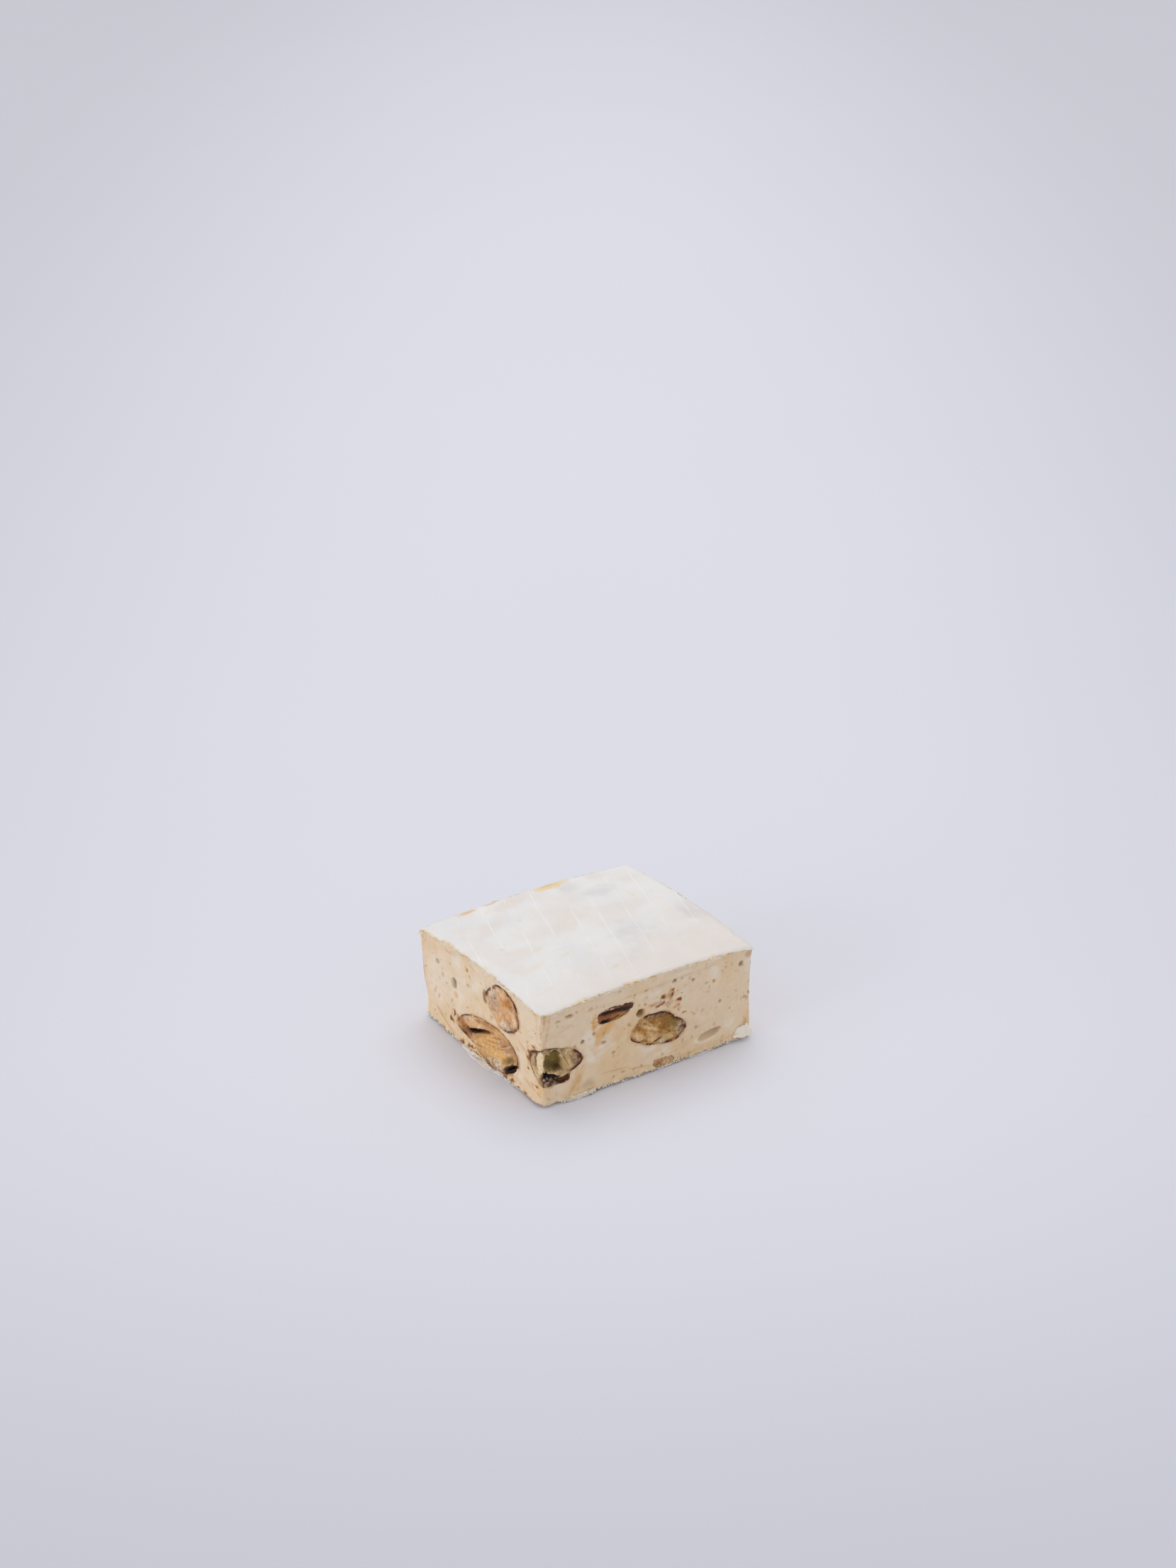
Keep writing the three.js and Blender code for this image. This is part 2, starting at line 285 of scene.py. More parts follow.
def paintedMaterial(name, look):
    material = bpy.data.materials.new(name)
    material.use_nodes = True
    nodes, links = material.node_tree.nodes, material.node_tree.links
    shader = nodes["Principled BSDF"]
    shader.inputs["Subsurface Weight"].default_value = look["subsurface"]
    shader.inputs["Subsurface Radius"].default_value = look["radius"]
    shader.inputs["Subsurface Scale"].default_value = look["depth"] * mm
    shader.inputs["Specular IOR Level"].default_value = look["specular"]
    place = nodes.new("ShaderNodeTexCoord")

    def noiseOf(size, detail, roughness=0.6):
        node = nodes.new("ShaderNodeTexNoise")
        node.inputs["Scale"].default_value = 1 / (size * mm)
        node.inputs["Detail"].default_value = detail
        node.inputs["Roughness"].default_value = roughness
        links.new(place.outputs["Object"], node.inputs["Vector"])
        return node

    def spread(source, low, high):
        # The noise lies mostly between 0.3 and 0.7, which becomes low to high.
        node = nodes.new("ShaderNodeMapRange")
        node.inputs["From Min"].default_value = 0.3
        node.inputs["From Max"].default_value = 0.7
        node.inputs["To Min"].default_value = low
        node.inputs["To Max"].default_value = high
        links.new(source, node.inputs["Value"])
        return node.outputs["Result"]

    paint = nodes.new("ShaderNodeAttribute")
    paint.attribute_name = "paint"
    mottle = spread(noiseOf(look["mottleSize"], 4.0).outputs["Fac"], 1 - look["mottle"], 1 + look["mottle"])
    fine = spread(noiseOf(look["grainSize"], 3.0).outputs["Fac"], 1 - look["speckle"], 1 + look["speckle"])
    both = nodes.new("ShaderNodeMath")
    both.operation = "MULTIPLY"
    links.new(mottle, both.inputs[0])
    links.new(fine, both.inputs[1])
    tinted = nodes.new("ShaderNodeVectorMath")
    tinted.operation = "SCALE"
    links.new(paint.outputs["Color"], tinted.inputs["Vector"])
    links.new(both.outputs["Value"], tinted.inputs["Scale"])
    links.new(tinted.outputs["Vector"], shader.inputs["Base Color"])
    gloss = spread(noiseOf(look["glossSize"], 3.0).outputs["Fac"], *look["roughness"])
    links.new(gloss, shader.inputs["Roughness"])
    soft = nodes.new("ShaderNodeBump")
    soft.inputs["Strength"].default_value = look["softBump"]
    soft.inputs["Distance"].default_value = look["softHeight"] * mm
    links.new(noiseOf(look["softSize"], 4.0).outputs["Fac"], soft.inputs["Height"])
    sharp = nodes.new("ShaderNodeBump")
    sharp.inputs["Strength"].default_value = look["grainBump"]
    sharp.inputs["Distance"].default_value = look["grainHeight"] * mm
    links.new(noiseOf(look["grainSize"], 5.0, 0.7).outputs["Fac"], sharp.inputs["Height"])
    links.new(soft.outputs["Normal"], sharp.inputs["Normal"])
    links.new(sharp.outputs["Normal"], shader.inputs["Normal"])
    return material


nougatCream = paintedMaterial("nougatCream", {
    "subsurface": 0.22, "radius": (1.0, 0.72, 0.45), "depth": 0.6, "specular": 0.35,
    "mottleSize": 2.4, "mottle": 0.035, "grainSize": 0.32, "speckle": 0.03, "glossSize": 1.7,
    "roughness": (0.46, 0.66), "softBump": 0.5, "softSize": 1.5, "softHeight": 0.08,
    "grainBump": 0.35, "grainHeight": 0.05,
})
waferPaper = paintedMaterial("waferPaper", {
    "subsurface": 0.25, "radius": (1.0, 0.95, 0.9), "depth": 0.8, "specular": 0.25,
    "mottleSize": 4.5, "mottle": 0.018, "grainSize": 0.25, "speckle": 0.015, "glossSize": 3.0,
    "roughness": (0.66, 0.86), "softBump": 0.3, "softSize": 1.1, "softHeight": 0.05,
    "grainBump": 0.3, "grainHeight": 0.03,
})
almondKernel = paintedMaterial("almondKernel", {
    "subsurface": 0.14, "radius": (1.0, 0.6, 0.3), "depth": 0.6, "specular": 0.45,
    "mottleSize": 1.1, "mottle": 0.14, "grainSize": 0.3, "speckle": 0.16, "glossSize": 0.9,
    "roughness": (0.4, 0.66), "softBump": 0.7, "softSize": 0.7, "softHeight": 0.12,
    "grainBump": 0.8, "grainHeight": 0.09,
})
almondSkin = paintedMaterial("almondSkin", {
    "subsurface": 0.05, "radius": (1.0, 0.4, 0.2), "depth": 0.4, "specular": 0.5,
    "mottleSize": 0.9, "mottle": 0.25, "grainSize": 0.18, "speckle": 0.2, "glossSize": 0.6,
    "roughness": (0.42, 0.7), "softBump": 0.8, "softSize": 0.5, "softHeight": 0.12,
    "grainBump": 0.6, "grainHeight": 0.06,
})
print("materials made")


# The block. A point on its wall is given by its way round the outline, from the front left corner and
# anticlockwise from above, by its height, and by how far inward it lies.

bar = {
    "length": 50.0, "depth": 43.4, "cornerHeight": 20.3, "domeRise": 1.15,
    "topSheet": 0.45, "bottomSheet": 0.5, "bow": 0.5, "bulge": 0.5, "overhang": 0.75,
    "cornerWidth": 0.8, "softCorner": 2.2, "softReach": 5.0, "cornerSteps": 9,
    "deepFrom": 0.5, "deepTurn": 15.0, "uneven": ((noise, 0.13, 9.0, 3.1), (cloud, 0.06, 3.4, 8.2)),
}
halfLength, halfDepth = bar["length"] / 2, bar["depth"] / 2
foot = bar["bottomSheet"] + 0.02
cornerStops = np.cumsum([0.0, bar["length"], bar["depth"], bar["length"], bar["depth"]])
wayRound = cornerStops[-1]
sideSign = {"front": 1, "right": 1, "back": -1, "left": -1}


def wayTo(side, along):
    # The way round to a point that is `along` mm from the middle of a side, counted along +X or +Y.
    middle = (cornerStops[:-1] + cornerStops[1:]) / 2
    return middle[list(sideSign).index(side)] + sideSign[side] * along


def outline(way, width):
    # The sharp rectangle averaged over a stretch, which rounds only its corners. The path's direction, turned
    # to the right, is the outward normal.
    def sharp(t):
        t = t % wayRound
        x = np.interp(t, cornerStops, [-halfLength, halfLength, halfLength, -halfLength, -halfLength])
        y = np.interp(t, cornerStops, [-halfDepth, -halfDepth, halfDepth, halfDepth, -halfDepth])
        return np.stack([x, y], -1)

    count = bar["cornerSteps"]
    steps = np.linspace(-0.5, 0.5, count)[:, None] * np.broadcast_to(width, np.shape(way)).ravel()
    steps = steps.reshape((count,) + np.shape(way))
    place = np.mean([sharp(way + s) for s in steps], axis=0)
    ahead = sharp(way + steps[-1]) - sharp(way + steps[0])
    ahead = ahead / np.linalg.norm(ahead, axis=-1, keepdims=True)
    return place, np.stack([ahead[..., 1], -ahead[..., 0]], -1)


def cornerWidth(way):
    # The front left corner is well rounded, the other three are nearly sharp.
    near = np.exp(-((wayGap(way, 0.0) / bar["softReach"]) ** 4))
    return bar["cornerWidth"] + (bar["softCorner"] - bar["cornerWidth"]) * near


def topHeight(u, v):
    # The block's top under the sheet, which droops from the middle to the four corners.
    return bar["cornerHeight"] - bar["topSheet"] + bar["domeRise"] * (1 - (u * v) ** 2)


def leanOf(u, v, w):
    # How far the back left corner hangs over at the top and draws back at the foot. w is the height's share.
    return bar["overhang"] * np.tanh(5 * (w - 0.33)) * np.maximum(0, -u) ** 3 * np.maximum(0, v) ** 2


def wallPoint(way, height, inward=0.0):
    # The wall bows in at mid height, bulges at the front foot and swells unevenly. What lies deep goes inward
    # along a normal that turns slowly at the corners, so that deep places there don't cross.
    place, normal = outline(way, cornerWidth(way))
    _, slow = outline(way, bar["deepTurn"])
    x, y = place[..., 0], place[..., 1]
    u, v = x / halfLength, y / halfDepth
    w = np.clip((height - foot) / (topHeight(u, v) - foot), 0, 1)
    flat = np.stack([x, y, height + 0 * x], -1)
    shallow = np.minimum(inward, bar["deepFrom"])
    near = bar["bow"] * np.sin(np.pi * w) ** 0.8 + mixed(flat, bar["uneven"]) + shallow
    deep = inward - shallow
    lean = leanOf(u, v, w)
    bulge = bar["bulge"] * np.maximum(0, -v) ** 3 * (1 - u * u) * (1 - w) ** 2
    moved = normal * near[..., None] + slow * deep[..., None]
    return np.stack([x - moved[..., 0] - lean, y - moved[..., 1] - bulge, height + 0 * x], -1)


def wayGap(way, middle):
    # The signed distance round the outline from a place on it, the shorter way.
    return (way - middle + wayRound / 2) % wayRound - wayRound / 2


def sideGap(way, side, along):
    # The mm from a place on a side, counted along +X or +Y.
    return wayGap(way, wayTo(side, along)) * sideSign[side]


def turned(x, y, degrees):
    # A step in the plane, as measured along and across a line that is tilted by an angle.
    t = np.radians(degrees)
    return x * np.cos(t) + y * np.sin(t), y * np.cos(t) - x * np.sin(t)


def ovalReach(x, y, spot):
    # 0 at an oval's middle and 1 on its rim. A spot is (x, y, half length, half height, tilt).
    dx, dy = turned(x - spot[0], y - spot[1], spot[4])
    return np.hypot(dx / spot[2], dy / spot[3])


# The almonds: where each sits, its tilt, taper and depth, and what marks its cut face, along and across it.
# edge holds angles and how far the rim stands there, 1 being a true oval. bands cross the kernel: their
# angle, strength and two colours. forms are laid one over the other: an oval, the depth it brings the face
# to (none leaves it), how soft its edge is, colour, strength. rims of brown skin: from angle, to angle,
# width, strength.

# Dark also deepens the brown skin at the rims, and the olive green is also the tone of some kernels.
# Painted shade: dark, shade and the olive green of the hollows darken cracks, crevices, holes and hollows
# beyond their real depth.
nutColours = {
    "peach": srgb(230, 180, 128), "copper": srgb(190, 128, 72), "gold": srgb(234, 184, 114),
    "honey": srgb(196, 130, 56), "sand": srgb(220, 170, 110), "tan": srgb(200, 154, 104),
    "olive": srgb(184, 138, 72), "oliveGold": srgb(162, 108, 24), "crystal": srgb(224, 186, 134),
    "straw": srgb(204, 170, 118), "brown": srgb(130, 78, 36), "amber": srgb(168, 104, 42),
    "grey": srgb(190, 158, 128), "ash": srgb(164, 136, 108), "cream": srgb(228, 204, 168),
    "white": srgb(232, 216, 196), "skin": srgb(92, 42, 12), "rust": srgb(146, 80, 30),
    "dark": srgb(26, 9, 3), "oliveShadeAndTone": srgb(128, 106, 36), "slab": srgb(236, 210, 166),
    "shade": srgb(92, 66, 34), "wall": srgb(196, 166, 128),
}

almonds = {
    "almond_upper_left": {
        "side": "left", "along": -7.8, "height": 15.6, "half": (6.4, 4.9), "tilt": 8, "taper": 0.14,
        "deep": 4.2, "kernel": "peach", "grain": 0.16, "cracks": 0.2, "wobble": 0.03,
        "bands": (-35, 0.3, "sand", "cream"),
        "edge": [
            (-160, 0.98), (-145, 0.92), (-119, 0.98), (-100, 1.07), (-83, 1.12), (-65, 0.97), (-46, 1.06),
            (-33, 1.08), (-21, 1.1), (-6, 1.04), (11, 0.95), (38, 0.9), (66, 1.02), (101, 0.98), (137, 1.0),
            (159, 0.9), (180, 0.93),
        ],
        "forms": [
            ((-1.6, 1.9, 2.9, 1.3, -30), 0.05, 0.8, "honey", 0.95),
            ((-2.6, 1.4, 1.2, 0.7, -35), 0.1, 0.7, "brown", 0.3),
            ((-1.2, -1.2, 2.4, 1.3, -20), -0.08, 0.8, "honey", 0.4),
            ((3.6, -0.9, 2.3, 2.6, 20), 0.1, 0.6, "grey", 0.75),
            ((4.2, 1.4, 1.3, 1.7, 30), -0.1, 0.5, "white", 0.7),
            ((2.4, 3.2, 1.9, 0.8, 10), -0.05, 0.6, "cream", 0.6),
            ((-3.6, -3.1, 2.9, 1.3, 28), 0.05, 0.6, "ash", 0.7),
            ((-1.4, -3.9, 2.2, 0.9, 10), -0.05, 0.6, "white", 0.55),
            ((-4.4, -0.6, 1.2, 1.0, 20), -0.05, 0.7, "cream", 0.5),
            ((-5.3, 0.6, 0.7, 1.4, -20), 0.4, 0.5, "skin", 0.8),
        ],
        "rims": [
            (100, 172, 1.0, 1.0), (30, 84, 0.7, 1.0), (84, 104, 0.4, 0.9), (-30, 30, 0.6, 0.9),
            (-178, -95, 0.45, 0.8), (-95, -40, 0.24, 0.6),
        ],
    },
    "almond_lower_left": {
        "side": "left", "along": -1.9, "height": 5.2, "half": (11.6, 4.2), "tilt": 0, "taper": 0.16,
        "deep": 4.2, "kernel": "sand", "grain": 0.07, "cracks": 0.1, "wobble": 0.02,
        "bands": (-14, 0.35, "copper", "peach"),
        "edge": [
            (-155, 1.03), (-142, 1.06), (-129, 1.1), (-112, 1.12), (-89, 1.1), (-78, 0.98), (-59, 0.82),
            (-46, 0.9), (-37, 1.03), (-29, 1.1), (-16, 1.05), (0, 0.98), (20, 0.94), (46, 1.01), (70, 1.03),
            (94, 1.08), (107, 1.12), (127, 1.1), (138, 1.07), (153, 1.01), (180, 0.99),
        ],
        "forms": [
            ((-1.4, -0.7, 5.8, 2.7, 0), 0.4, 0.4, "gold", 0.95),
            ((5.4, 2.3, 5.6, 1.4, -14), -0.2, 0.3, "peach", 0.95),
            ((8.4, 1.7, 1.6, 0.5, -25), -0.3, 0.6, "cream", 0.7),
            ((5.6, 2.6, 2.0, 0.5, -10), -0.25, 0.6, "cream", 0.6),
            ((2.4, 2.2, 1.4, 0.4, -20), -0.2, 0.6, "cream", 0.5),
            ((7.0, 3.0, 1.6, 0.3, -20), 0.1, 0.7, "brown", 0.5),
            ((3.0, 3.1, 1.2, 0.5, -10), 0.1, 0.6, "brown", 0.6),
            ((0.6, 3.6, 3.2, 0.5, -3), 0.05, 0.6, "amber", 0.6),
            ((9.6, 0.2, 1.9, 1.6, 0), 0.2, 0.6, "amber", 0.75),
            ((-7.8, 2.0, 3.8, 2.0, 16), -0.05, 0.5, "copper", 0.6),
            ((-8.8, 3.0, 2.0, 0.6, 22), 0.2, 0.6, "brown", 0.6),
            ((-6.0, 1.2, 3.2, 0.3, -30), 0.25, 0.6, "brown", 0.5),
            ((-8.0, 0.9, 2.4, 0.3, -26), -0.1, 0.6, "cream", 0.5),
            ((-4.4, 2.2, 1.8, 0.3, -40), -0.05, 0.6, "cream", 0.4),
            ((8.0, -1.5, 2.4, 0.8, -6), 0.5, 0.7, "brown", 0.6),
            ((6.2, -2.7, 1.9, 0.4, 2), 0.8, 0.5, "dark", 0.95),
            ((1.0, 1.7, 3.0, 0.5, -20), 0.5, 0.8, "brown", 0.8),
            ((8.2, -0.8, 1.6, 0.9, -20), 0.6, 0.8, "amber", 0.8),
            ((7.2, -0.9, 2.4, 0.9, -16), 0.3, 0.8, "brown", 0.9),
            ((3.9, 0.5, 4.4, 0.46, -20), 1.3, 0.5, "brown", 1.0),
            # Paint alone: painted shade in the crevice, darker than its cut depth makes it.
            ((6.7, -0.6, 1.9, 0.6, -12), None, 0.6, "dark", 0.95),
            ((4.2, 0.3, 2.2, 0.5, -30), None, 0.6, "dark", 0.95),
            ((1.8, 1.5, 1.8, 0.38, -12), 0.7, 0.8, "skin", 0.9),
            ((0.0, 2.0, 1.6, 0.3, -20), 0.3, 0.9, "brown", 0.8),
            ((3.2, -0.3, 2.6, 0.5, -24), None, 0.9, "brown", 0.4),
            ((-2.0, 0.7, 3.6, 0.2, -16), 0.12, 0.8, "copper", 0.8),
            ((-4.4, 0.6, 2.8, 0.24, -22), -0.12, 0.8, "cream", 0.6),
            ((1.4, -1.7, 2.6, 0.24, -8), 0.0, 0.8, "cream", 0.5),
            ((-5.8, 1.6, 2.8, 0.2, -30), 0.14, 0.8, "brown", 0.6),
            ((-7.4, 2.2, 2.0, 0.3, -34), -0.14, 0.8, "cream", 0.6),
            ((-3.2, 2.2, 2.6, 0.2, -22), 0.12, 0.8, "amber", 0.7),
            ((-0.4, -0.6, 3.0, 0.2, -12), 0.06, 0.9, "copper", 0.5),
            ((3.0, -2.3, 1.6, 0.2, -4), 0.05, 0.9, "brown", 0.5),
            ((-3.4, -3.6, 3.6, 1.1, 4), -0.05, 0.5, "ash", 0.7),
            ((-4.2, -3.0, 1.6, 0.8, 10), -0.12, 0.6, "white", 0.7),
            ((-1.4, -3.5, 1.0, 0.5, 0), -0.1, 0.6, "cream", 0.7),
            ((0.0, -4.2, 1.6, 0.5, 0), 0.1, 0.6, "skin", 0.5),
            ((-7.4, -0.9, 2.6, 0.7, -30), 0.5, 0.7, "oliveShadeAndTone", 0.9),
            # The hole: its depth, then painted shade over all of its wall.
            ((-9.3, -2.0, 2.4, 0.9, -33), 1.6, 0.35, "dark", 1.0),
            ((-8.5, -2.3, 2.9, 1.2, -33), None, 0.25, "dark", 1.0),
            ((-8.7, -3.6, 2.2, 0.7, -30), None, 0.6, "skin", 0.9),
            ((-10.9, -0.6, 0.5, 1.6, -14), None, 0.7, "skin", 0.8),
        ],
        "rims": [
            (-180, -128, 0.5, 1.0), (-45, 36, 0.46, 0.95), (36, 84, 0.28, 0.85), (84, 150, 0.22, 0.7),
            (150, 180, 0.5, 1.0), (-128, -70, 0.2, 0.5),
        ],
    },
    "almond_corner": {
        "side": "front", "along": -22.4, "height": 7.9, "half": (7.7, 4.25), "tilt": -4, "taper": -0.1,
        "deep": 4.6, "kernel": "straw", "grain": 0.08, "cracks": 0.3, "wobble": 0.03,
        "bands": (50, 0.3, "olive", "cream"),
        "edge": [
            (-150, 0.93), (-120, 0.97), (-96, 0.99), (-76, 0.91), (-60, 0.94), (-52, 0.95), (-43, 0.8),
            (-30, 0.72), (-17, 0.82), (-7, 0.92), (8, 0.98), (22, 1.0), (39, 1.0), (56, 0.98), (73, 0.99),
            (89, 1.1), (104, 1.22), (120, 1.18), (132, 1.17), (144, 1.18), (160, 1.1), (180, 1.05),
            (-166, 1.0),
        ],
        "forms": [
            ((0.2, 4.2, 3.6, 1.3, -6), 0.6, 0.4, "wall", 0.95),
            ((0.4, 1.3, 2.4, 2.1, -20), 1.5, 0.25, "oliveShadeAndTone", 1.0),
            ((0.6, 0.2, 2.2, 0.9, -24), None, 0.7, "shade", 0.8),
            ((4.1, 0.9, 1.8, 2.5, 30), 0.05, 0.3, "straw", 0.95),
            ((2.9, 2.5, 1.2, 0.5, 40), -0.1, 0.6, "cream", 0.7),
            ((3.3, 1.3, 0.28, 1.9, 30), 0.5, 0.6, "olive", 0.7),
            ((4.0, 0.4, 0.3, 1.6, 30), -0.15, 0.6, "cream", 0.6),
            ((4.8, 0.8, 0.24, 1.7, 28), 0.4, 0.6, "olive", 0.5),
            ((6.1, 0.8, 1.3, 2.1, 14), 0.05, 0.5, "ash", 0.9),
            ((6.3, 1.1, 0.5, 0.5, 0), 0.2, 0.6, "rust", 0.6),
            ((0.1, -1.9, 3.3, 0.75, -22), 1.4, 0.35, "dark", 1.0),
            ((-0.3, -2.7, 2.8, 1.1, -12), 1.0, 0.4, "dark", 1.0),
            ((-1.2, -1.3, 0.5, 1.0, 0), 1.2, 0.5, "dark", 0.95),
            ((3.1, -2.9, 1.9, 0.8, 10), 0.7, 0.5, "dark", 0.95),
            ((3.4, -3.3, 1.4, 0.3, 12), 0.2, 0.7, "rust", 0.8),
            ((2.6, -2.8, 0.5, 0.22, 10), 0.4, 0.8, "grey", 0.7),
            ((-1.5, -2.6, 0.6, 0.3, -20), 0.4, 0.7, "white", 0.9),
            ((-0.7, -3.5, 0.8, 0.34, 10), 0.3, 0.7, "cream", 0.85),
            ((0.3, -2.9, 0.5, 0.22, -20), 0.4, 0.7, "grey", 0.9),
            ((0.9, -3.5, 0.6, 0.24, 0), 0.3, 0.7, "white", 0.7),
            ((-1.9, -3.4, 0.45, 0.3, 30), 0.3, 0.7, "ash", 0.9),
            ((-0.5, -2.5, 0.36, 0.16, -30), 0.5, 0.8, "grey", 0.8),
            ((1.7, -2.9, 0.34, 0.18, 20), 0.4, 0.8, "ash", 0.8),
            ((-3.8, -2.2, 1.5, 1.5, -20), 0.0, 0.7, "cream", 0.8),
            ((-2.6, -2.0, 0.7, 1.2, 10), 0.3, 0.8, "brown", 0.6),
            ((-3.3, 1.6, 1.8, 2.9, 2), -0.1, 0.2, "slab", 1.0),
            ((-3.4, 3.7, 1.4, 0.5, 2), None, 0.8, "white", 0.9),
            # Paint alone: painted shade down the slab's right side, where it turns into the hollow.
            ((-1.9, 1.2, 0.4, 2.4, 2), None, 0.9, "olive", 0.5),
            ((-3.2, -2.3, 0.8, 1.3, 8), None, 0.8, "brown", 0.8),
            ((-2.8, -1.8, 0.45, 0.9, 0), None, 0.7, "skin", 0.9),
            ((-3.6, -3.2, 0.6, 0.4, 20), -0.1, 0.7, "skin", 0.8),
            ((-5.5, 1.3, 0.4, 1.9, 4), 0.8, 0.5, "shade", 0.95),
            ((-6.7, 0.8, 0.9, 2.6, 6), 0.0, 0.6, "grey", 0.6),
            ((-7.7, 0.9, 0.7, 2.4, 6), 0.0, 0.9, "skin", 0.8),
            ((-6.0, 3.9, 1.7, 0.6, 10), 0.1, 0.8, "skin", 0.85),
            ((-3.4, -3.0, 1.0, 0.6, -10), 0.2, 0.8, "olive", 0.7),
        ],
        "rims": [
            (-30, 50, 0.7, 1.0), (-104, -44, 0.4, 1.0), (50, 112, 0.5, 1.0), (112, 180, 0.55, 1.0),
            (-180, -140, 0.35, 0.8),
        ],
    },
    "almond_sliver": {
        "side": "front", "along": -7.6, "height": 15.5, "half": (4.8, 1.5), "tilt": 3, "taper": 0.1,
        "deep": 1.6, "kernel": "brown", "grain": 0.16, "cracks": 0.4, "wobble": 0.08,
        "bands": (0, 0.5, "skin", "rust"),
        "edge": [
            (-155, 0.98), (-132, 1.12), (-100, 1.02), (-70, 0.95), (-45, 0.86), (-22, 0.72), (0, 0.86),
            (20, 0.98), (45, 1.14), (70, 0.94), (95, 1.04), (115, 1.12), (140, 1.1), (160, 0.94),
            (180, 0.84),
        ],
        "forms": [
            ((-0.5, -0.3, 3.2, 0.34, 2), -0.05, 0.8, "amber", 0.7),
            ((1.4, -0.5, 1.4, 0.24, 8), 0.0, 0.8, "tan", 0.4),
            ((-2.2, -0.2, 0.9, 0.3, 0), 0.1, 0.9, "rust", 0.8),
            ((-1.6, 1.3, 1.9, 0.42, -4), 0.0, 0.6, "ash", 0.9),
            ((-1.5, 0.66, 2.7, 0.4, -5), 0.6, 0.6, "dark", 0.9),
            ((1.0, 0.5, 1.6, 0.34, -6), 0.4, 0.7, "skin", 1.0),
            ((2.7, 0.42, 1.8, 0.95, -8), -0.05, 0.4, "skin", 1.0),
            ((2.3, 0.1, 1.5, 0.4, -10), 0.3, 0.8, "dark", 0.95),
            ((-2.4, -1.0, 1.5, 0.46, 0), 0.5, 0.5, "dark", 1.0),
            ((-1.9, -0.9, 0.5, 0.2, 0), 0.2, 0.8, "ash", 0.6),
            # The next two are painted shade along the lower edge of the sliver.
            ((0.8, -1.0, 1.9, 0.5, 6), 0.2, 0.6, "olive", 0.9),
            ((0.2, -1.0, 1.2, 0.2, 4), 0.4, 0.7, "shade", 0.8),
        ],
        "rims": [(-180, 180, 0.1, 0.5)],
    },
    "almond_front": {
        "side": "front", "along": 2.6, "height": 8.8, "half": (7.2, 3.8), "tilt": -12, "taper": 0.12,
        "deep": 4.2, "kernel": "olive", "grain": 0.22, "cracks": 0.5, "wobble": 0.03,
        "bands": (-28, 0.95, "oliveGold", "crystal"),
        "edge": [
            (-169, 0.99), (-151, 1.06), (-129, 0.93), (-102, 0.94), (-84, 0.86), (-76, 0.94), (-65, 1.03),
            (-50, 1.09), (-34, 0.99), (-15, 1.02), (11, 0.93), (34, 0.88), (53, 0.83), (63, 0.9), (74, 1.0),
            (85, 0.99), (106, 0.93), (130, 0.94), (154, 0.87), (168, 0.9), (180, 0.95),
        ],
        "forms": [
            ((-4.6, 0.4, 1.7, 1.0, -30), 0.25, 0.7, "oliveGold", 0.8),
            ((-2.4, 2.0, 1.9, 0.7, -25), 0.25, 0.7, "oliveGold", 0.8),
            ((2.0, 1.6, 1.9, 1.5, -20), 0.2, 0.7, "oliveGold", 0.9),
            ((1.0, 0.2, 1.3, 0.8, 0), 0.25, 0.7, "oliveGold", 0.9),
            ((3.4, 0.9, 1.7, 1.2, -30), 0.15, 0.7, "oliveShadeAndTone", 0.7),
            ((-3.4, 0.9, 1.4, 0.5, -30), 0.2, 0.8, "oliveShadeAndTone", 0.4),
            ((-2.6, 0.4, 2.6, 0.42, -14), -0.1, 0.6, "crystal", 0.9),
            ((-4.8, -1.3, 2.0, 0.9, -20), -0.05, 0.6, "crystal", 0.9),
            ((-1.2, -1.4, 1.6, 0.9, -20), -0.1, 0.6, "crystal", 0.6),
            ((2.2, -2.0, 2.4, 0.9, 12), -0.05, 0.6, "straw", 0.9),
            ((5.6, 0.0, 1.5, 1.9, 0), 0.05, 0.6, "ash", 0.85),
            ((-1.6, 3.0, 2.4, 0.6, 4), 0.1, 0.6, "ash", 0.9),
            ((0.6, 2.6, 1.4, 0.5, 0), 0.15, 0.7, "shade", 0.5),
            ((0.0, -2.3, 1.3, 0.22, 26), 0.6, 0.5, "dark", 0.85),
            ((1.0, -2.7, 0.9, 0.45, 10), -0.1, 0.5, "white", 0.9),
            ((-6.4, 0.3, 0.6, 0.9, 0), 0.0, 0.8, "sand", 0.7),
            ((5.9, -2.0, 0.6, 0.6, 0), 0.9, 0.4, "skin", 0.7),
        ],
        "rims": [(60, 134, 0.5, 1.0), (-14, 60, 0.5, 0.95), (-74, -30, 0.55, 1.0), (-156, -98, 0.45, 1.0)],
    },
    "almond_chip": {
        "side": "front", "along": 3.5, "height": 1.25, "half": (2.7, 1.1), "tilt": -4, "taper": 0.0,
        "deep": 1.2, "kernel": "tan", "grain": 0.16, "cracks": 0.3, "wobble": 0.2,
        "bands": (0, 0.8, "brown", "straw"), "line": 0.1,
        "edge": [(-150, 1.0), (-60, 1.0), (0, 0.9), (60, 0.95), (100, 0.85), (140, 1.0), (180, 1.0)],
        "forms": [
            ((-1.5, 0.1, 1.0, 0.6, 0), None, 0.9, "brown", 0.5),
            ((1.0, 0.2, 1.3, 0.5, 0), 0.05, 0.9, "cream", 0.5),
        ],
        "rims": [],
    },
    "almond_right_rear": {
        "side": "right", "along": 9.4, "height": 12.6, "half": (6.6, 4.1), "tilt": 22, "taper": 0.14,
        "deep": 4.2, "kernel": "peach", "grain": 0.13, "cracks": 0.3, "wobble": 0.04,
        "bands": (-30, 0.4, "sand", "cream"),
        "edge": [
            (-140, 0.95), (-110, 0.92), (-80, 1.02), (-40, 0.97), (0, 0.94), (40, 1.03), (70, 1.05),
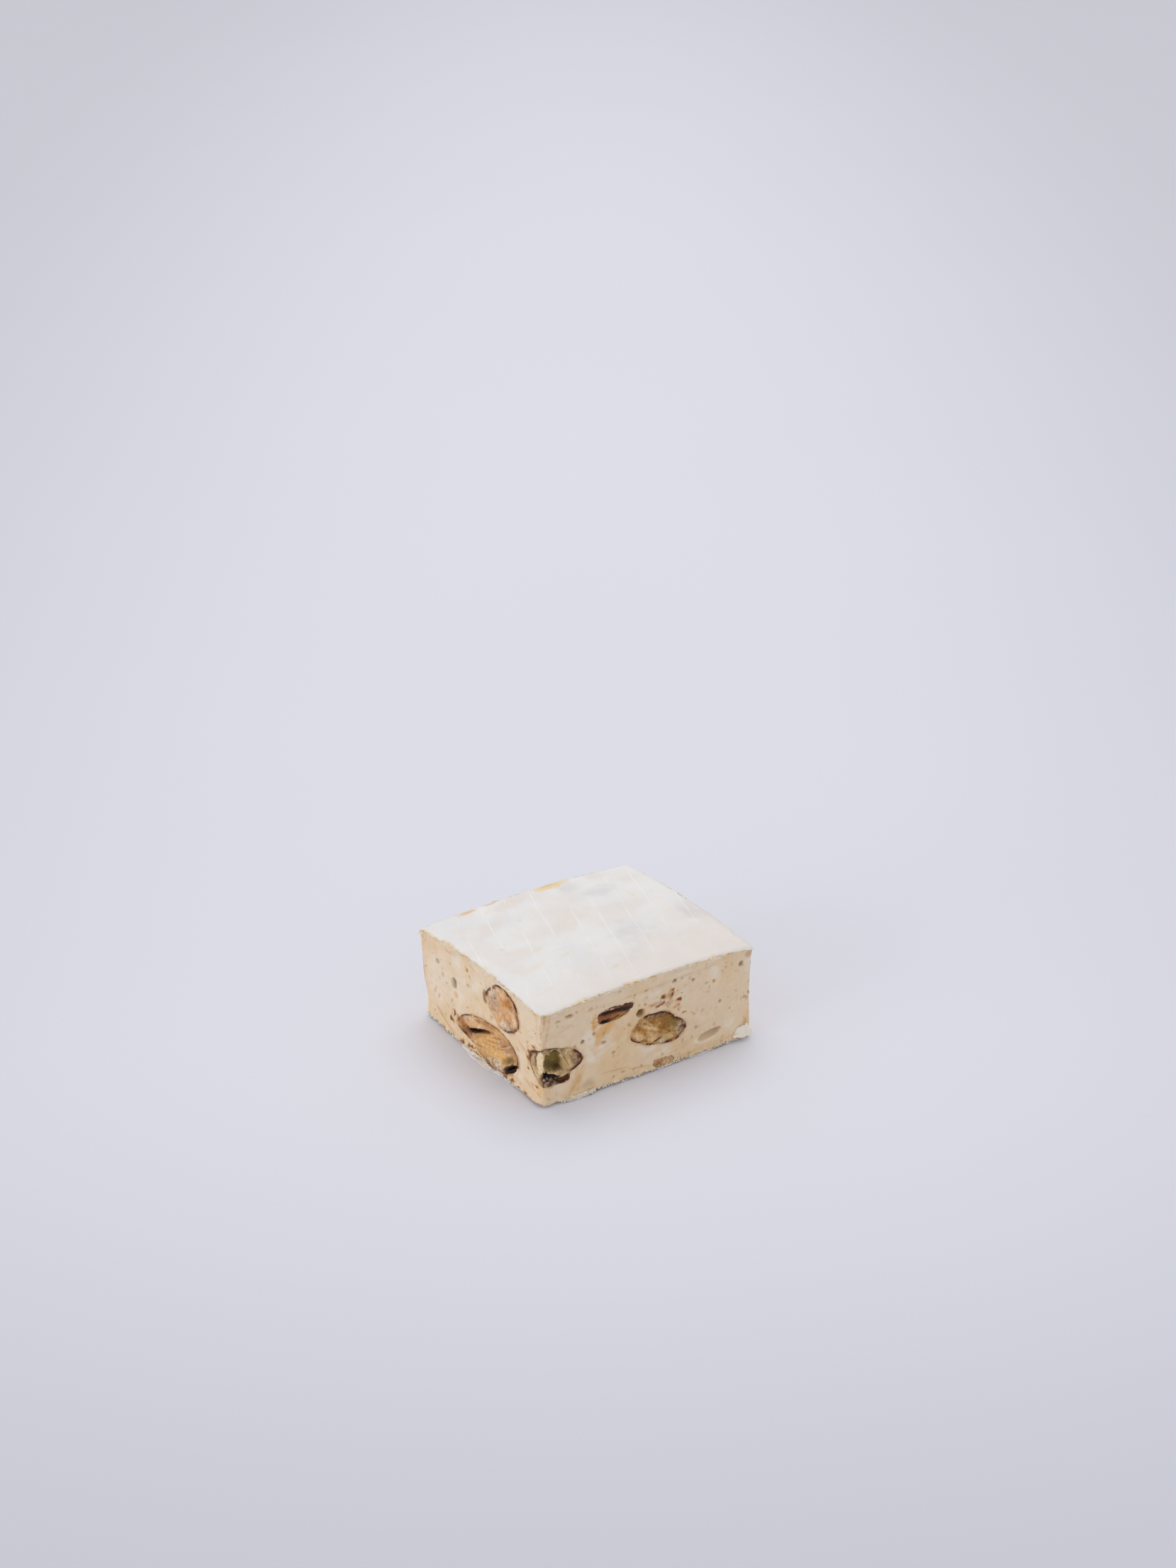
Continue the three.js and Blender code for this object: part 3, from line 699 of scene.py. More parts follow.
            (110, 0.98), (150, 1.0), (180, 0.96),
        ],
        "forms": [
            ((-2.2, 1.4, 2.6, 1.4, 20), None, 0.8, "honey", 0.8),
            ((3.2, -1.8, 2.8, 1.3, 0), 0.1, 0.5, "grey", 0.8),
            ((-4.8, -1.2, 1.4, 1.3, 0), -0.1, 0.4, "white", 0.75),
            ((1.8, 2.6, 2.2, 0.8, 0), -0.05, 0.5, "cream", 0.7),
            ((1.2, 0.5, 2.6, 0.3, -12), 0.8, 0.5, "shade", 0.8),
            ((-5.6, 1.0, 0.5, 0.9, 0), 0.8, 0.4, "shade", 0.8),
        ],
        "rims": [(16, 100, 0.4, 1.0), (100, 150, 0.24, 0.85), (-150, -60, 0.22, 0.7), (-40, 8, 0.3, 0.8)],
    },
    "almond_right_front": {
        "side": "right", "along": -9.2, "height": 6.6, "half": (7.6, 3.7), "tilt": -28, "taper": 0.16,
        "deep": 4.2, "kernel": "sand", "grain": 0.07, "cracks": 0.15, "wobble": 0.03,
        "bands": (-12, 0.4, "copper", "peach"),
        "edge": [
            (-150, 1.0), (-90, 1.04), (-50, 0.92), (-20, 0.96), (20, 1.0), (70, 1.02), (120, 0.98),
            (145, 1.06), (180, 0.98),
        ],
        "forms": [
            ((0.6, -1.0, 4.0, 1.5, 4), 0.3, 0.5, "gold", 0.9),
            ((1.8, 2.1, 5.0, 0.95, -4), -0.14, 0.25, "peach", 0.95),
            ((5.4, -0.4, 1.9, 1.8, 0), 0.1, 0.5, "amber", 0.8),
            ((-0.4, 0.5, 3.8, 0.5, 6), 1.8, 0.4, "dark", 1.0),
            ((4.0, 0.4, 1.5, 0.5, -20), 1.0, 0.4, "dark", 0.9),
            ((-4.4, -1.2, 1.8, 1.2, 0), -0.05, 0.5, "white", 0.85),
            ((-5.8, 0.6, 1.0, 0.8, 0), 1.9, 0.3, "dark", 0.95),
        ],
        "rims": [
            (-180, -100, 0.2, 0.75), (-100, -40, 0.14, 0.5), (-40, 66, 0.32, 0.95), (66, 120, 0.16, 0.7),
            (120, 180, 0.3, 0.9),
        ],
    },
    "almond_right_sliver": {
        "side": "right", "along": -3.4, "height": 16.2, "half": (4.3, 1.35), "tilt": -8, "taper": 0.1,
        "deep": 1.6, "kernel": "brown", "grain": 0.12, "cracks": 0.2, "wobble": 0.05,
        "bands": (0, 0.4, "skin", "honey"),
        "edge": [
            (-150, 1.1), (-110, 0.95), (-60, 1.0), (-22, 0.78), (10, 0.95), (40, 1.12), (80, 0.95),
            (120, 1.05), (150, 0.85), (180, 0.9),
        ],
        "forms": [
            ((0.3, 0.5, 3.6, 0.34, -2), 0.7, 0.4, "dark", 0.95),
            ((-1.0, -0.2, 2.4, 0.24, 4), -0.15, 0.5, "honey", 0.9),
            ((1.4, -0.7, 1.4, 0.3, 0), 0.3, 0.5, "olive", 0.8),
            ((-2.4, -0.6, 1.2, 0.34, 0), 0.6, 0.5, "dark", 0.85),
        ],
        "rims": [(-180, 180, 0.1, 0.5)],
    },
    "almond_back_left": {
        "side": "back", "along": -11.6, "height": 8.1, "half": (7.4, 4.2), "tilt": 14, "taper": 0.15,
        "deep": 4.2, "kernel": "olive", "grain": 0.2, "cracks": 0.5, "wobble": 0.03,
        "bands": (-24, 0.9, "oliveGold", "crystal"),
        "edge": [
            (-150, 1.02), (-120, 0.92), (-80, 0.98), (-50, 1.06), (0, 1.0), (30, 0.93), (60, 0.98),
            (100, 1.05), (140, 0.94), (180, 0.98),
        ],
        "forms": [
            ((-3.4, 1.0, 2.4, 1.6, 0), 0.15, 0.7, "oliveGold", 0.7),
            ((2.2, -0.4, 2.6, 1.7, 20), 0.2, 0.7, "oliveGold", 0.4),
            ((4.8, 1.2, 1.8, 1.6, 0), 0.05, 0.6, "ash", 0.8),
            ((-1.6, -2.7, 2.8, 0.9, 0), -0.05, 0.5, "white", 0.7),
            ((0.6, 1.8, 2.0, 0.9, 10), -0.03, 0.6, "crystal", 0.7),
        ],
        "rims": [(26, 146, 0.34, 0.95), (-92, -16, 0.34, 1.0), (-176, -130, 0.3, 0.85)],
    },
    "almond_back_middle": {
        "side": "back", "along": 3.2, "height": 14.6, "half": (5.4, 3.9), "tilt": -24, "taper": 0.12,
        "deep": 4.0, "kernel": "peach", "grain": 0.13, "cracks": 0.3, "wobble": 0.04,
        "bands": (-30, 0.4, "sand", "cream"),
        "edge": [
            (-140, 1.0), (-100, 0.93), (-60, 1.0), (-20, 1.04), (20, 0.95), (70, 1.06), (110, 1.0),
            (150, 0.94), (180, 1.0),
        ],
        "forms": [
            ((1.2, 1.2, 2.2, 1.3, 0), None, 0.8, "honey", 0.85),
            ((-2.8, -1.4, 2.2, 1.4, 0), 0.1, 0.5, "grey", 0.8),
            ((3.3, -1.7, 1.3, 1.1, 0), -0.1, 0.4, "white", 0.75),
            ((-0.8, 1.7, 1.5, 0.26, 12), 0.6, 0.5, "shade", 0.7),
        ],
        "rims": [(60, 140, 0.4, 1.0), (140, 180, 0.24, 0.8), (-80, 0, 0.24, 0.75)],
    },
    "almond_back_right": {
        "side": "back", "along": 15.2, "height": 6.4, "half": (6.4, 4.0), "tilt": 8, "taper": -0.14,
        "deep": 4.4, "kernel": "straw", "grain": 0.1, "cracks": 0.3, "wobble": 0.03,
        "bands": (40, 0.3, "olive", "cream"),
        "edge": [
            (-150, 0.92), (-110, 1.0), (-70, 0.94), (-30, 0.9), (0, 0.98), (40, 1.05), (90, 1.0),
            (130, 1.04), (180, 0.98),
        ],
        "forms": [
            ((0.4, 1.9, 2.8, 1.3, 0), 0.6, 0.4, "wall", 0.95),
            ((0.0, 0.3, 2.2, 1.8, -12), 2.2, 0.35, "oliveShadeAndTone", 0.95),
            ((0.6, -1.7, 2.6, 0.7, 4), 2.4, 0.3, "dark", 1.0),
            ((3.0, 0.6, 1.4, 1.9, 18), 0.1, 0.35, "straw", 0.95),
            ((4.6, 0.8, 1.1, 1.7, 0), 0.1, 0.5, "ash", 0.85),
            ((-2.9, 0.5, 0.85, 2.6, 6), -0.12, 0.2, "slab", 1.0),
            ((-4.0, 0.6, 0.35, 1.9, 6), 0.9, 0.35, "shade", 0.9),
            ((0.2, -2.8, 2.2, 0.6, 4), 0.1, 0.4, "white", 0.75),
        ],
        "rims": [(-100, -20, 0.4, 1.0), (-20, 60, 0.24, 0.8), (60, 130, 0.3, 1.0), (130, 180, 0.2, 0.7)],
    },
}
nutGrid = {
    "spokes": 224, "rings": 72, "backRings": 8, "proud": 0.05, "tuck": 0.5, "tuckFrom": 0.955,
    "deepest": 0.82, "waist": 0.06, "edgeSpread": (-4, -2, 0, 2, 4), "rimFade": 8,
}
# How every cut face is worked: its grain and crystals, its bands and cracks, its uneven edges and its skin.
cutLook = {
    "grainSize": 1.2, "crystalSize": 0.75, "fineCrystal": (0.6, 0.34), "crystalShare": 0.5,
    "bandStretch": (0.45, 1.3), "bandRelief": 0.12, "bandFrom": (0.05, 0.6), "bandPale": 0.9,
    "crackWidth": 0.09, "crackDepth": 0.5, "crackShade": 0.75,
    "wander": ((cloud, 0.26, 1.3, 1.3), (noise, 0.2, 0.42, 5.5), (noise, 0.1, 0.22, 3.5)),
    "speck": ((noise, 1.0, 0.36, 7.7), (noise, 0.5, 0.2, 1.7)), "speckRelief": 0.1, "speckTint": 0.5,
    "mealy": ("white", "cream", "ash", "grey"), "rough": (0.4, 3.6), "roughShares": (0.12, 0.16, 0.1),
    "rimAt": 0.965, "rimUneven": ((noise, 0.75, 1.9, 4.9), (noise, 0.35, 0.7, 1.6)),
    "rustEnd": (0.7, 1.9), "skinEnd": (0.6, 1.2), "skinRelief": 0.2,
}


def nutOutline(nut, angle):
    # How far the rim stands from a true oval at this angle, as a factor: the edge's table, a little uneven.
    turns, factors = np.array(nut["edge"]).T
    degrees = np.degrees(angle)
    near = [np.interp(degrees + d, turns, factors, period=360) for d in nutGrid["edgeSpread"]]
    factor = np.mean(near, axis=0)
    ring = np.stack([3 * np.cos(angle), 3 * np.sin(angle), np.full_like(angle, nut["along"])], -1)
    return factor + nut["wobble"] * (cloud(ring, 1.4, 4.4) + 0.5 * noise(ring, 0.36, 2.8))


def nutWidth(nut, t):
    # An almond is thinner at one end, t running from -1 to 1 along it.
    return 1 - nut["taper"] * t - nutGrid["waist"] * t * t


def nutReach(nut, way, height):
    # For points of the wall: 0 in the middle of an almond's cut face and 1 on its rim, and the mm outside it.
    along = sideGap(way, nut["side"], nut["along"])
    x, y = turned(along, height - nut["height"], nut["tilt"])
    t = x / nut["half"][0]
    across = y / (nut["half"][1] * nutWidth(nut, np.clip(t, -1, 1)))
    reach = np.hypot(t, across) / nutOutline(nut, np.arctan2(across, t))
    return reach, (reach - 1) * np.hypot(x, y) / np.maximum(reach, 0.01)


def rimWindow(angle, start, end):
    # 1 between two angles in degrees, fading out round each.
    fade = nutGrid["rimFade"]
    most = np.zeros_like(angle)
    for lap in (-360, 0, 360):
        a = angle + lap
        most = np.maximum(most, rise(start - fade, start + fade, a) * (1 - rise(end - fade, end + fade, a)))
    return most


def cutFace(nut, x, y, reach, angle):
    # How far in each point of a cut face lies, and its colour: grain, then the forms one over the other, then
    # the skin at the rim, whose width is measured in mm from where the nougat closes over the almond.
    look = cutLook
    flat = np.stack([x, y, np.full_like(x, 3.7 * nut["along"])], -1)
    plain = np.zeros(x.shape + (3,))
    grain = cloud(flat, look["grainSize"], 2.6)
    fineShare, fineSize = look["fineCrystal"]
    crystals = 1 - 2 * np.abs(noise(flat, look["crystalSize"], 9.1)) + fineShare * noise(flat, fineSize, 3.8)
    relief = nut["grain"] * (grain - look["crystalShare"] * crystals)
    colour = plain + nutColours[nut["kernel"]]
    # Bands run across the kernel at an angle, each broken into grains.
    bandTilt, bandStrength, deepBand, paleBand = nut["bands"]
    ahead, across = turned(x, y, bandTilt)
    slow, quick = look["bandStretch"]
    run = np.stack([slow * ahead, quick * across, 0 * x + nut["along"]], -1)
    band = cloud(run, 1.1, 6.1) + 0.45 * noise(flat, 0.42, 4.1)
    relief = relief + look["bandRelief"] * bandStrength * band
    deepShare, paleShare = rise(*look["bandFrom"], band), look["bandPale"] * bandStrength
    colour = over(colour, nutColours[deepBand], bandStrength * deepShare)
    colour = over(colour, nutColours[paleBand], paleShare * rise(*look["bandFrom"], -band))
    # Cracks run where a slow noise passes through zero; they are sunk and darkened with painted shade.
    split = np.exp(-((noise(flat, 1.7, 8.3) / look["crackWidth"]) ** 2))
    split = split * rise(-0.1, 0.5, noise(flat, 2.6, 0.7))
    relief = relief + nut["cracks"] * look["crackDepth"] * split
    colour = over(colour, nutColours["shade"], nut["cracks"] * look["crackShade"] * split)
    wander = mixed(flat, look["wander"])
    speck = mixed(flat, look["speck"])
    for spot, level, soft, name, strength in nut["forms"]:
        r = ovalReach(x, y, spot) + wander * min(1.0, 0.35 + soft)
        cover = 1 - rise(1 - soft, 1 + 0.5 * soft, r)
        if level is not None:
            relief = relief + (level + 0.5 * relief - relief) * cover
        colour = over(colour, nutColours[name], cover * strength)
        if name in look["mealy"]:
            relief = relief - cover * look["speckRelief"] * speck
            colour = over(colour, nutColours["brown"], look["speckTint"] * cover * rise(0.2, 0.7, -speck))
            colour = over(colour, nutColours["white"], look["speckTint"] * cover * rise(0.2, 0.7, speck))
    rough = look["rough"][0] + look["rough"][1] * nut["grain"]
    a, b, c = look["roughShares"]
    colour = colour * (1 + rough * (a * crystals - b * grain + c * speck))[..., None]
    radius = np.hypot(x, y) / reach
    fromRim = (look["rimAt"] - reach) * radius + 0.16 * cloud(flat, 0.7, 0.4)
    degrees = np.degrees(angle)
    uneven = 1 + mixed(flat, look["rimUneven"])
    deepTone = over(plain + nutColours["skin"], nutColours["dark"], rise(0.0, 0.6, -grain))
    for start, end, width, strength in nut["rims"]:
        width = width * np.maximum(uneven, 0.1)
        window = rimWindow(degrees, start, end) * strength * rise(-0.6, 0.05, noise(flat, 0.9, 2.2))
        share = fromRim / width
        colour = over(colour, nutColours["rust"], 0.7 * window * (1 - rise(*look["rustEnd"], share)))
        colour = over(colour, deepTone, window * (1 - rise(*look["skinEnd"], share)))
        ridge = np.exp(-(((fromRim - 1.3 * width) / (0.6 * width)) ** 2))
        relief = relief + look["skinRelief"] * window * ridge
    return relief * (1 - rise(0.88, 0.97, reach)), colour


def makeNut(name, nut):
    # Rings from the middle of the cut face out to its rim, tucked under the nougat, then back round a bowl.
    spokes, rings = nutGrid["spokes"], nutGrid["rings"]
    angle = np.linspace(0, 2 * np.pi, spokes, endpoint=False)[None, :]
    reach = np.linspace(0, 1, rings + 1)[1:, None]
    stretch = nutOutline(nut, angle)
    t = reach * stretch * np.cos(angle)
    x = t * nut["half"][0]
    y = reach * stretch * np.sin(angle) * nut["half"][1] * nutWidth(nut, np.clip(t, -1, 1))
    full = np.broadcast_to(reach, x.shape)
    relief, colour = cutFace(nut, x, y, full, np.broadcast_to(angle, x.shape))
    bowl = nut["deep"] * np.sqrt(np.clip(1 - full**2, 0, 1))
    ringNoise = noise(np.stack([x, y, 0 * x], -1), 2.1, 6.6)
    level = nutGrid["tuck"] * rise(nutGrid["tuckFrom"], 1.0, full) - nutGrid["proud"]
    level = level + 0.1 * ringNoise * rise(0.7, 0.95, full)
    inward = np.minimum(relief, nutGrid["deepest"] * bowl) + level

    def place(x, y, inward):
        along, up = turned(x, y, -nut["tilt"])
        height = np.maximum(nut["height"] + up, foot + 0.05)
        return wallPoint(wayTo(nut["side"], nut["along"]) + sideSign[nut["side"]] * along, height, inward)

    front = place(x, y, inward)
    phi = np.linspace(0, np.pi / 2, nutGrid["backRings"] + 2)[1:-1, None]
    rear = place(x[-1:] * np.cos(phi), y[-1:] * np.cos(phi), nutGrid["tuck"] + nut["deep"] * np.sin(phi))
    middle = place(x[:1].mean(keepdims=True), y[:1].mean(keepdims=True), inward[:1].mean(keepdims=True))
    tip = place(0 * x[:1, :1], 0 * x[:1, :1], nut["deep"] + nutGrid["tuck"])
    points = np.concatenate([a.reshape(-1, 3) for a in (front, rear, middle, tip)])
    faces = ringFaces(rings + nutGrid["backRings"], spokes, sideSign[nut["side"]] > 0)
    # The back of the bowl is skin. The last two rows are the middle of the cut face and the tip behind.
    skinRows = np.zeros((nutGrid["backRings"] * spokes + 2, 3)) + nutColours["skin"]
    skinRows[-2] = colour[0].mean(axis=0)
    paint = np.concatenate([colour.reshape(-1, 3), skinRows])
    isSkin = "sliver" in name
    material, slot = (almondSkin, "almond_skin") if isSkin else (almondKernel, "almond")
    return makePiece(name.replace("almond", "kernel"), points, faces, material, [name], paint)


for name, nut in almonds.items():
    makeNut(name, nut)
print("almonds made:", len(almonds))


# The nougat round them: bubbles, pockets for the almonds, marks of the knife and a crumbly foot.

nougat = {
    "columnsSeen": 500, "columnsHidden": 436, "rows": 99, "capRings": (0.8, 0.4), "seed": 5,
    "cream": srgb(241, 217, 185), "warm": srgb(239, 206, 160), "pale": srgb(246, 231, 210),
    "tan": srgb(210, 156, 84), "smear": srgb(232, 180, 112), "orange": srgb(214, 140, 30),
    "rust": srgb(168, 100, 40), "pitShade": srgb(140, 106, 52), "skin": srgb(138, 74, 22),
    "washes": (
        ("warm", 0.6, -0.1, 0.8, noise, "wall", 7.0, 0.3), ("pale", 0.85, 0.0, 0.7, cloud, "wall", 4.2, 6.1),
        ("warm", 0.5, 0.1, 0.7, cloud, "wall", 2.2, 9.4), ("tan", 0.2, 0.2, 0.8, cloud, "slant", 1.3, 7.4),
        ("orange", 0.16, 0.3, 0.7, cloud, "wall", 0.9, 7.9),
    ),
    "grain": 0.035, "grainSize": 0.8, "drag": 0.05, "dragSize": 1.6, "warmFoot": (1.0, 5.0),
    "stainFray": ((cloud, 0.45, 1.2, 2.9),), "stainEdge": (0.4, 1.4), "streakStretch": (0.3, 2.4),
    "specks": 170, "speckTones": ("tan", "orange", "tan", "pale", "rust"), "speckHeights": (1.0, 19.5),
    "speckLength": (0.15, 0.6), "speckWidth": (0.12, 0.35), "speckStrength": (0.15, 0.5),
    "speckEdge": (0.5, 1.3), "microPits": 260, "pitHeights": (0.8, 20.0), "pitSize": (0.14, 0.32),
    "pitStretch": (0.8, 1.8), "pitDepth": (0.4, 1.0), "pitFray": ((cloud, 0.12, 0.9, 4.7),),
    "pitLean": 0.4, "shadeSpan": 1.7, "lipAt": 1.12, "lipHeight": 0.05, "lipWidth": 0.16,
    "lipHighlightWidth": 0.14, "splashBroken": ((noise, 0.8, 0.5, 6.3), (noise, 0.3, 1.1, 1.9)),
    "splashSpread": 1.5, "splashEdge": (0.15, 0.6), "mistEdge": (0.0, 0.6), "splashRelief": 0.06,
    "rippleReach": 1.5, "rippleBetween": (10.5, 14.5), "rippleDepth": 0.28, "rippleStretch": (1.5, 0.12),
    "pocketRim": 0.93, "pocketExtra": 0.8, "pocketPower": 6, "moat": 0.12, "moatAt": 0.1,
    "moatWidth": 0.14, "haloWidth": 0.4, "lineBetween": (-0.15, 0.08),
    "footBand": (0.3, 1.6), "topBand": (-0.7, 0.0), "crumble": 0.32, "crumbleTop": 0.2,
    "grit": 0.2, "gritTop": 0.14, "footWave": 0.22, "footLowest": 0.3, "underSheet": 0.04,
}
# along the side, height, half length, half height, tilt, depth
bubbles = {
    "front": [
        (14.8, 3.55, 3.1, 0.9, 8, 0.9), (22.3, 17.1, 0.65, 0.6, 0, 1.0), (6.3, 18.2, 0.55, 0.4, 0, 0.8),
        (10.8, 17.0, 0.4, 0.4, 0, 0.5), (17.5, 10.0, 0.35, 0.35, 0, 0.4), (23.5, 9.1, 0.5, 0.4, 0, 0.3),
        (-1.7, 13.5, 1.0, 0.95, 0, 1.7), (-18.3, 18.3, 0.75, 0.4, -10, 0.6),
        (-21.0, 17.9, 0.7, 0.25, -4, 0.35), (-15.2, 11.4, 0.5, 0.45, 0, 0.8),
        (-10.4, 9.8, 0.6, 0.35, 0, 0.5), (-8.2, 6.9, 0.45, 0.35, 0, 0.35), (11.5, 6.1, 0.3, 0.3, 0, 0.3),
        (-12.6, 12.4, 0.45, 0.25, 0, 0.5), (3.2, 2.9, 0.3, 0.25, 0, 0.2), (18.5, 17.5, 0.4, 0.3, 0, 0.2),
        (5.6, 8.9, 0.3, 0.3, 0, 0.2),
    ],
    "left": [
        (16.1, 15.1, 0.7, 0.6, 0, 0.9), (10.4, 12.6, 0.95, 1.3, 8, 1.9), (14.3, 12.8, 0.45, 0.55, 0, 0.5),
        (5.2, 14.4, 0.5, 0.35, 20, 0.5), (11.4, 16.6, 0.3, 0.35, 0, 0.3), (-3.3, 11.4, 0.35, 0.3, 30, 0.3),
    ],
    "right": [
        (-16.5, 14.6, 0.7, 0.6, 0, 0.7), (2.2, 5.1, 1.7, 0.65, 6, 0.9), (17.0, 6.2, 0.6, 0.7, 0, 0.7),
        (5.4, 17.2, 0.45, 0.4, 0, 0.5), (-12.0, 17.8, 0.5, 0.35, 0, 0.4), (13.0, 4.0, 0.4, 0.4, 0, 0.4),
    ],
    "back": [
        (13.6, 15.9, 0.8, 0.65, 0, 0.8), (-3.2, 4.6, 2.0, 0.75, -8, 0.9), (-20.6, 15.4, 0.6, 0.75, 0, 0.8),
        (-9.0, 16.4, 0.5, 0.45, 0, 0.5), (6.6, 6.2, 0.45, 0.5, 0, 0.5), (20.4, 11.6, 0.5, 0.4, 0, 0.4),
    ],
}
# Most rows are stains. The pitShade rows are painted shade in dips and in the gap beside an almond on the
# left side,
# and the large pale row on the left side is painted light on its back part.
# along the side, height, half length, half height, tilt, colour, strength
stainsAndShading = {
    "front": [
        (-12.4, 14.2, 0.8, 2.6, 0, "smear", 1.0), (-12.7, 14.0, 0.4, 2.2, 4, "orange", 0.45),
        (-9.4, 12.6, 2.6, 1.4, 20, "smear", 0.8), (-9.8, 12.4, 2.6, 0.5, 50, "orange", 0.25),
        (-11.6, 10.6, 1.6, 1.0, 60, "smear", 0.7), (-10.6, 11.6, 3.0, 0.5, 60, "tan", 0.3),
        (-7.6, 14.0, 3.0, 0.6, 18, "smear", 0.6), (-16.4, 4.3, 3.4, 1.1, 62, "smear", 0.75),
        (-17.4, 3.0, 3.6, 0.4, 58, "tan", 0.4), (7.0, 4.6, 9.0, 2.4, 6, "tan", 0.22),
        (-15.4, 5.4, 2.0, 0.4, 66, "orange", 0.3), (-14.2, 2.2, 1.6, 1.0, 0, "pitShade", 0.25),
        (-7.0, 10.6, 1.6, 1.1, 30, "smear", 0.5), (-8.4, 3.1, 3.6, 0.16, -3, "tan", 0.6),
        (-2.6, 2.0, 4.4, 0.15, -10, "tan", 0.5), (-24.4, 17.2, 0.3, 2.4, 0, "smear", 0.9),
        (-23.2, 17.4, 0.3, 2.2, 0, "smear", 0.8), (-2.6, 12.4, 3.4, 2.4, 30, "warm", 0.7),
        (1.6, 15.2, 6.4, 1.5, 6, "warm", 0.5), (7.4, 12.0, 3.0, 2.2, -30, "warm", 0.5),
        (3.4, 14.0, 2.8, 0.7, -6, "rust", 0.5), (5.5, 15.1, 0.8, 1.1, 0, "rust", 0.5),
        (7.2, 12.6, 0.6, 1.6, 20, "rust", 0.3), (-13.6, 18.2, 0.5, 0.5, 0, "orange", 0.4),
        (24.0, 18.9, 1.2, 0.9, 20, "rust", 0.4), (15.7, 15.3, 0.42, 0.5, 30, "orange", 1.0),
        (24.5, 10.0, 0.4, 0.35, 0, "rust", 0.7), (23.6, 3.8, 0.5, 0.8, 0, "tan", 0.5),
        (10.5, 4.3, 0.4, 0.35, 0, "orange", 0.6), (-19.6, 19.2, 2.6, 0.35, 4, "tan", 0.4),
        (0.4, 18.4, 14.0, 0.35, 2, "tan", 0.3), (22.6, 1.0, 1.6, 0.6, 0, "tan", 0.45),
        (10.4, 1.1, 10.0, 0.5, 3, "tan", 0.35), (-8.2, 6.4, 4.6, 2.4, 20, "warm", 0.5),
        (-4.2, 8.4, 0.7, 1.6, 20, "smear", 0.5), (-22.6, 1.8, 1.6, 0.5, -20, "smear", 0.6),
    ],
    "left": [
        (5.2, 17.9, 0.4, 0.5, 30, "orange", 1.0), (4.2, 16.9, 0.5, 0.5, 20, "orange", 0.55),
        (3.2, 19.4, 1.6, 0.4, 20, "orange", 0.25), (17.5, 8.0, 0.34, 1.2, 34, "orange", 1.0),
        (16.4, 6.9, 0.3, 0.8, 30, "orange", 0.8), (11.2, 8.4, 0.3, 0.8, 30, "orange", 0.8),
        (11.6, 19.3, 1.6, 0.5, 0, "orange", 0.35), (20.9, 10.0, 1.1, 10.0, 0, "smear", 0.25),
        (16.2, 11.0, 4.0, 6.0, 10, "pale", 0.45), (15.6, 9.3, 0.9, 0.35, -40, "orange", 0.6),
        (19.0, 19.0, 3.0, 0.6, 0, "orange", 0.4), (9.6, 10.4, 0.8, 0.6, 30, "smear", 0.7),
        (-9.0, 1.8, 3.6, 0.9, -6, "tan", 0.6), (8.0, 3.4, 12.0, 2.2, 6, "warm", 0.2),
        (13.6, 2.4, 5.0, 0.6, 20, "tan", 0.6), (7.0, 12.4, 2.6, 1.6, 60, "warm", 0.3),
        (1.0, 12.4, 2.4, 0.8, 20, "warm", 0.6), (-3.4, 11.4, 0.5, 0.3, 20, "orange", 0.4),
        (-1.2, 15.0, 0.8, 1.4, 0, "pitShade", 0.95), (-1.4, 14.6, 0.5, 0.9, 0, "rust", 0.5),
        (-14.4, 10.0, 2.2, 0.5, 24, "orange", 0.4), (-12.6, 8.6, 0.7, 0.3, 20, "rust", 0.5),
        (-17.6, 0.5, 5.4, 0.34, 0, "rust", 0.8), (-18.0, 3.0, 4.0, 0.4, 14, "tan", 0.5),
        (-14.0, 2.0, 3.0, 0.4, 20, "orange", 0.3), (-19.8, 17.2, 0.3, 2.4, 0, "smear", 0.6),
        (-20.8, 4.6, 0.8, 3.0, 0, "smear", 0.6), (20.6, 17.6, 0.5, 1.6, 0, "orange", 0.3),
        (9.3, 5.8, 0.4, 0.5, 0, "rust", 0.6), (-8.4, 18.8, 3.0, 0.6, -14, "warm", 0.8),
    ],
    "right": [
        (4.0, 9.8, 3.2, 1.0, 60, "tan", 0.55), (-15.0, 11.0, 2.6, 0.7, 80, "tan", 0.5),
        (14.6, 17.0, 0.5, 0.5, 0, "orange", 0.9), (-19.0, 5.0, 0.5, 3.0, 10, "tan", 0.5),
        (0.0, 2.2, 14.0, 1.4, 2, "warm", 0.6), (19.6, 12.0, 1.2, 5.0, 0, "warm", 0.6),
    ],
    "back": [
        (-2.0, 10.6, 2.8, 0.9, 70, "tan", 0.55), (21.0, 9.0, 0.6, 4.0, 6, "tan", 0.45),
        (10.0, 12.2, 0.5, 0.5, 0, "orange", 0.9), (-18.4, 13.4, 3.0, 0.5, -20, "tan", 0.5),
        (2.0, 2.0, 16.0, 1.2, -2, "warm", 0.6), (-14.0, 17.6, 2.2, 0.6, 8, "warm", 0.6),
    ],
}

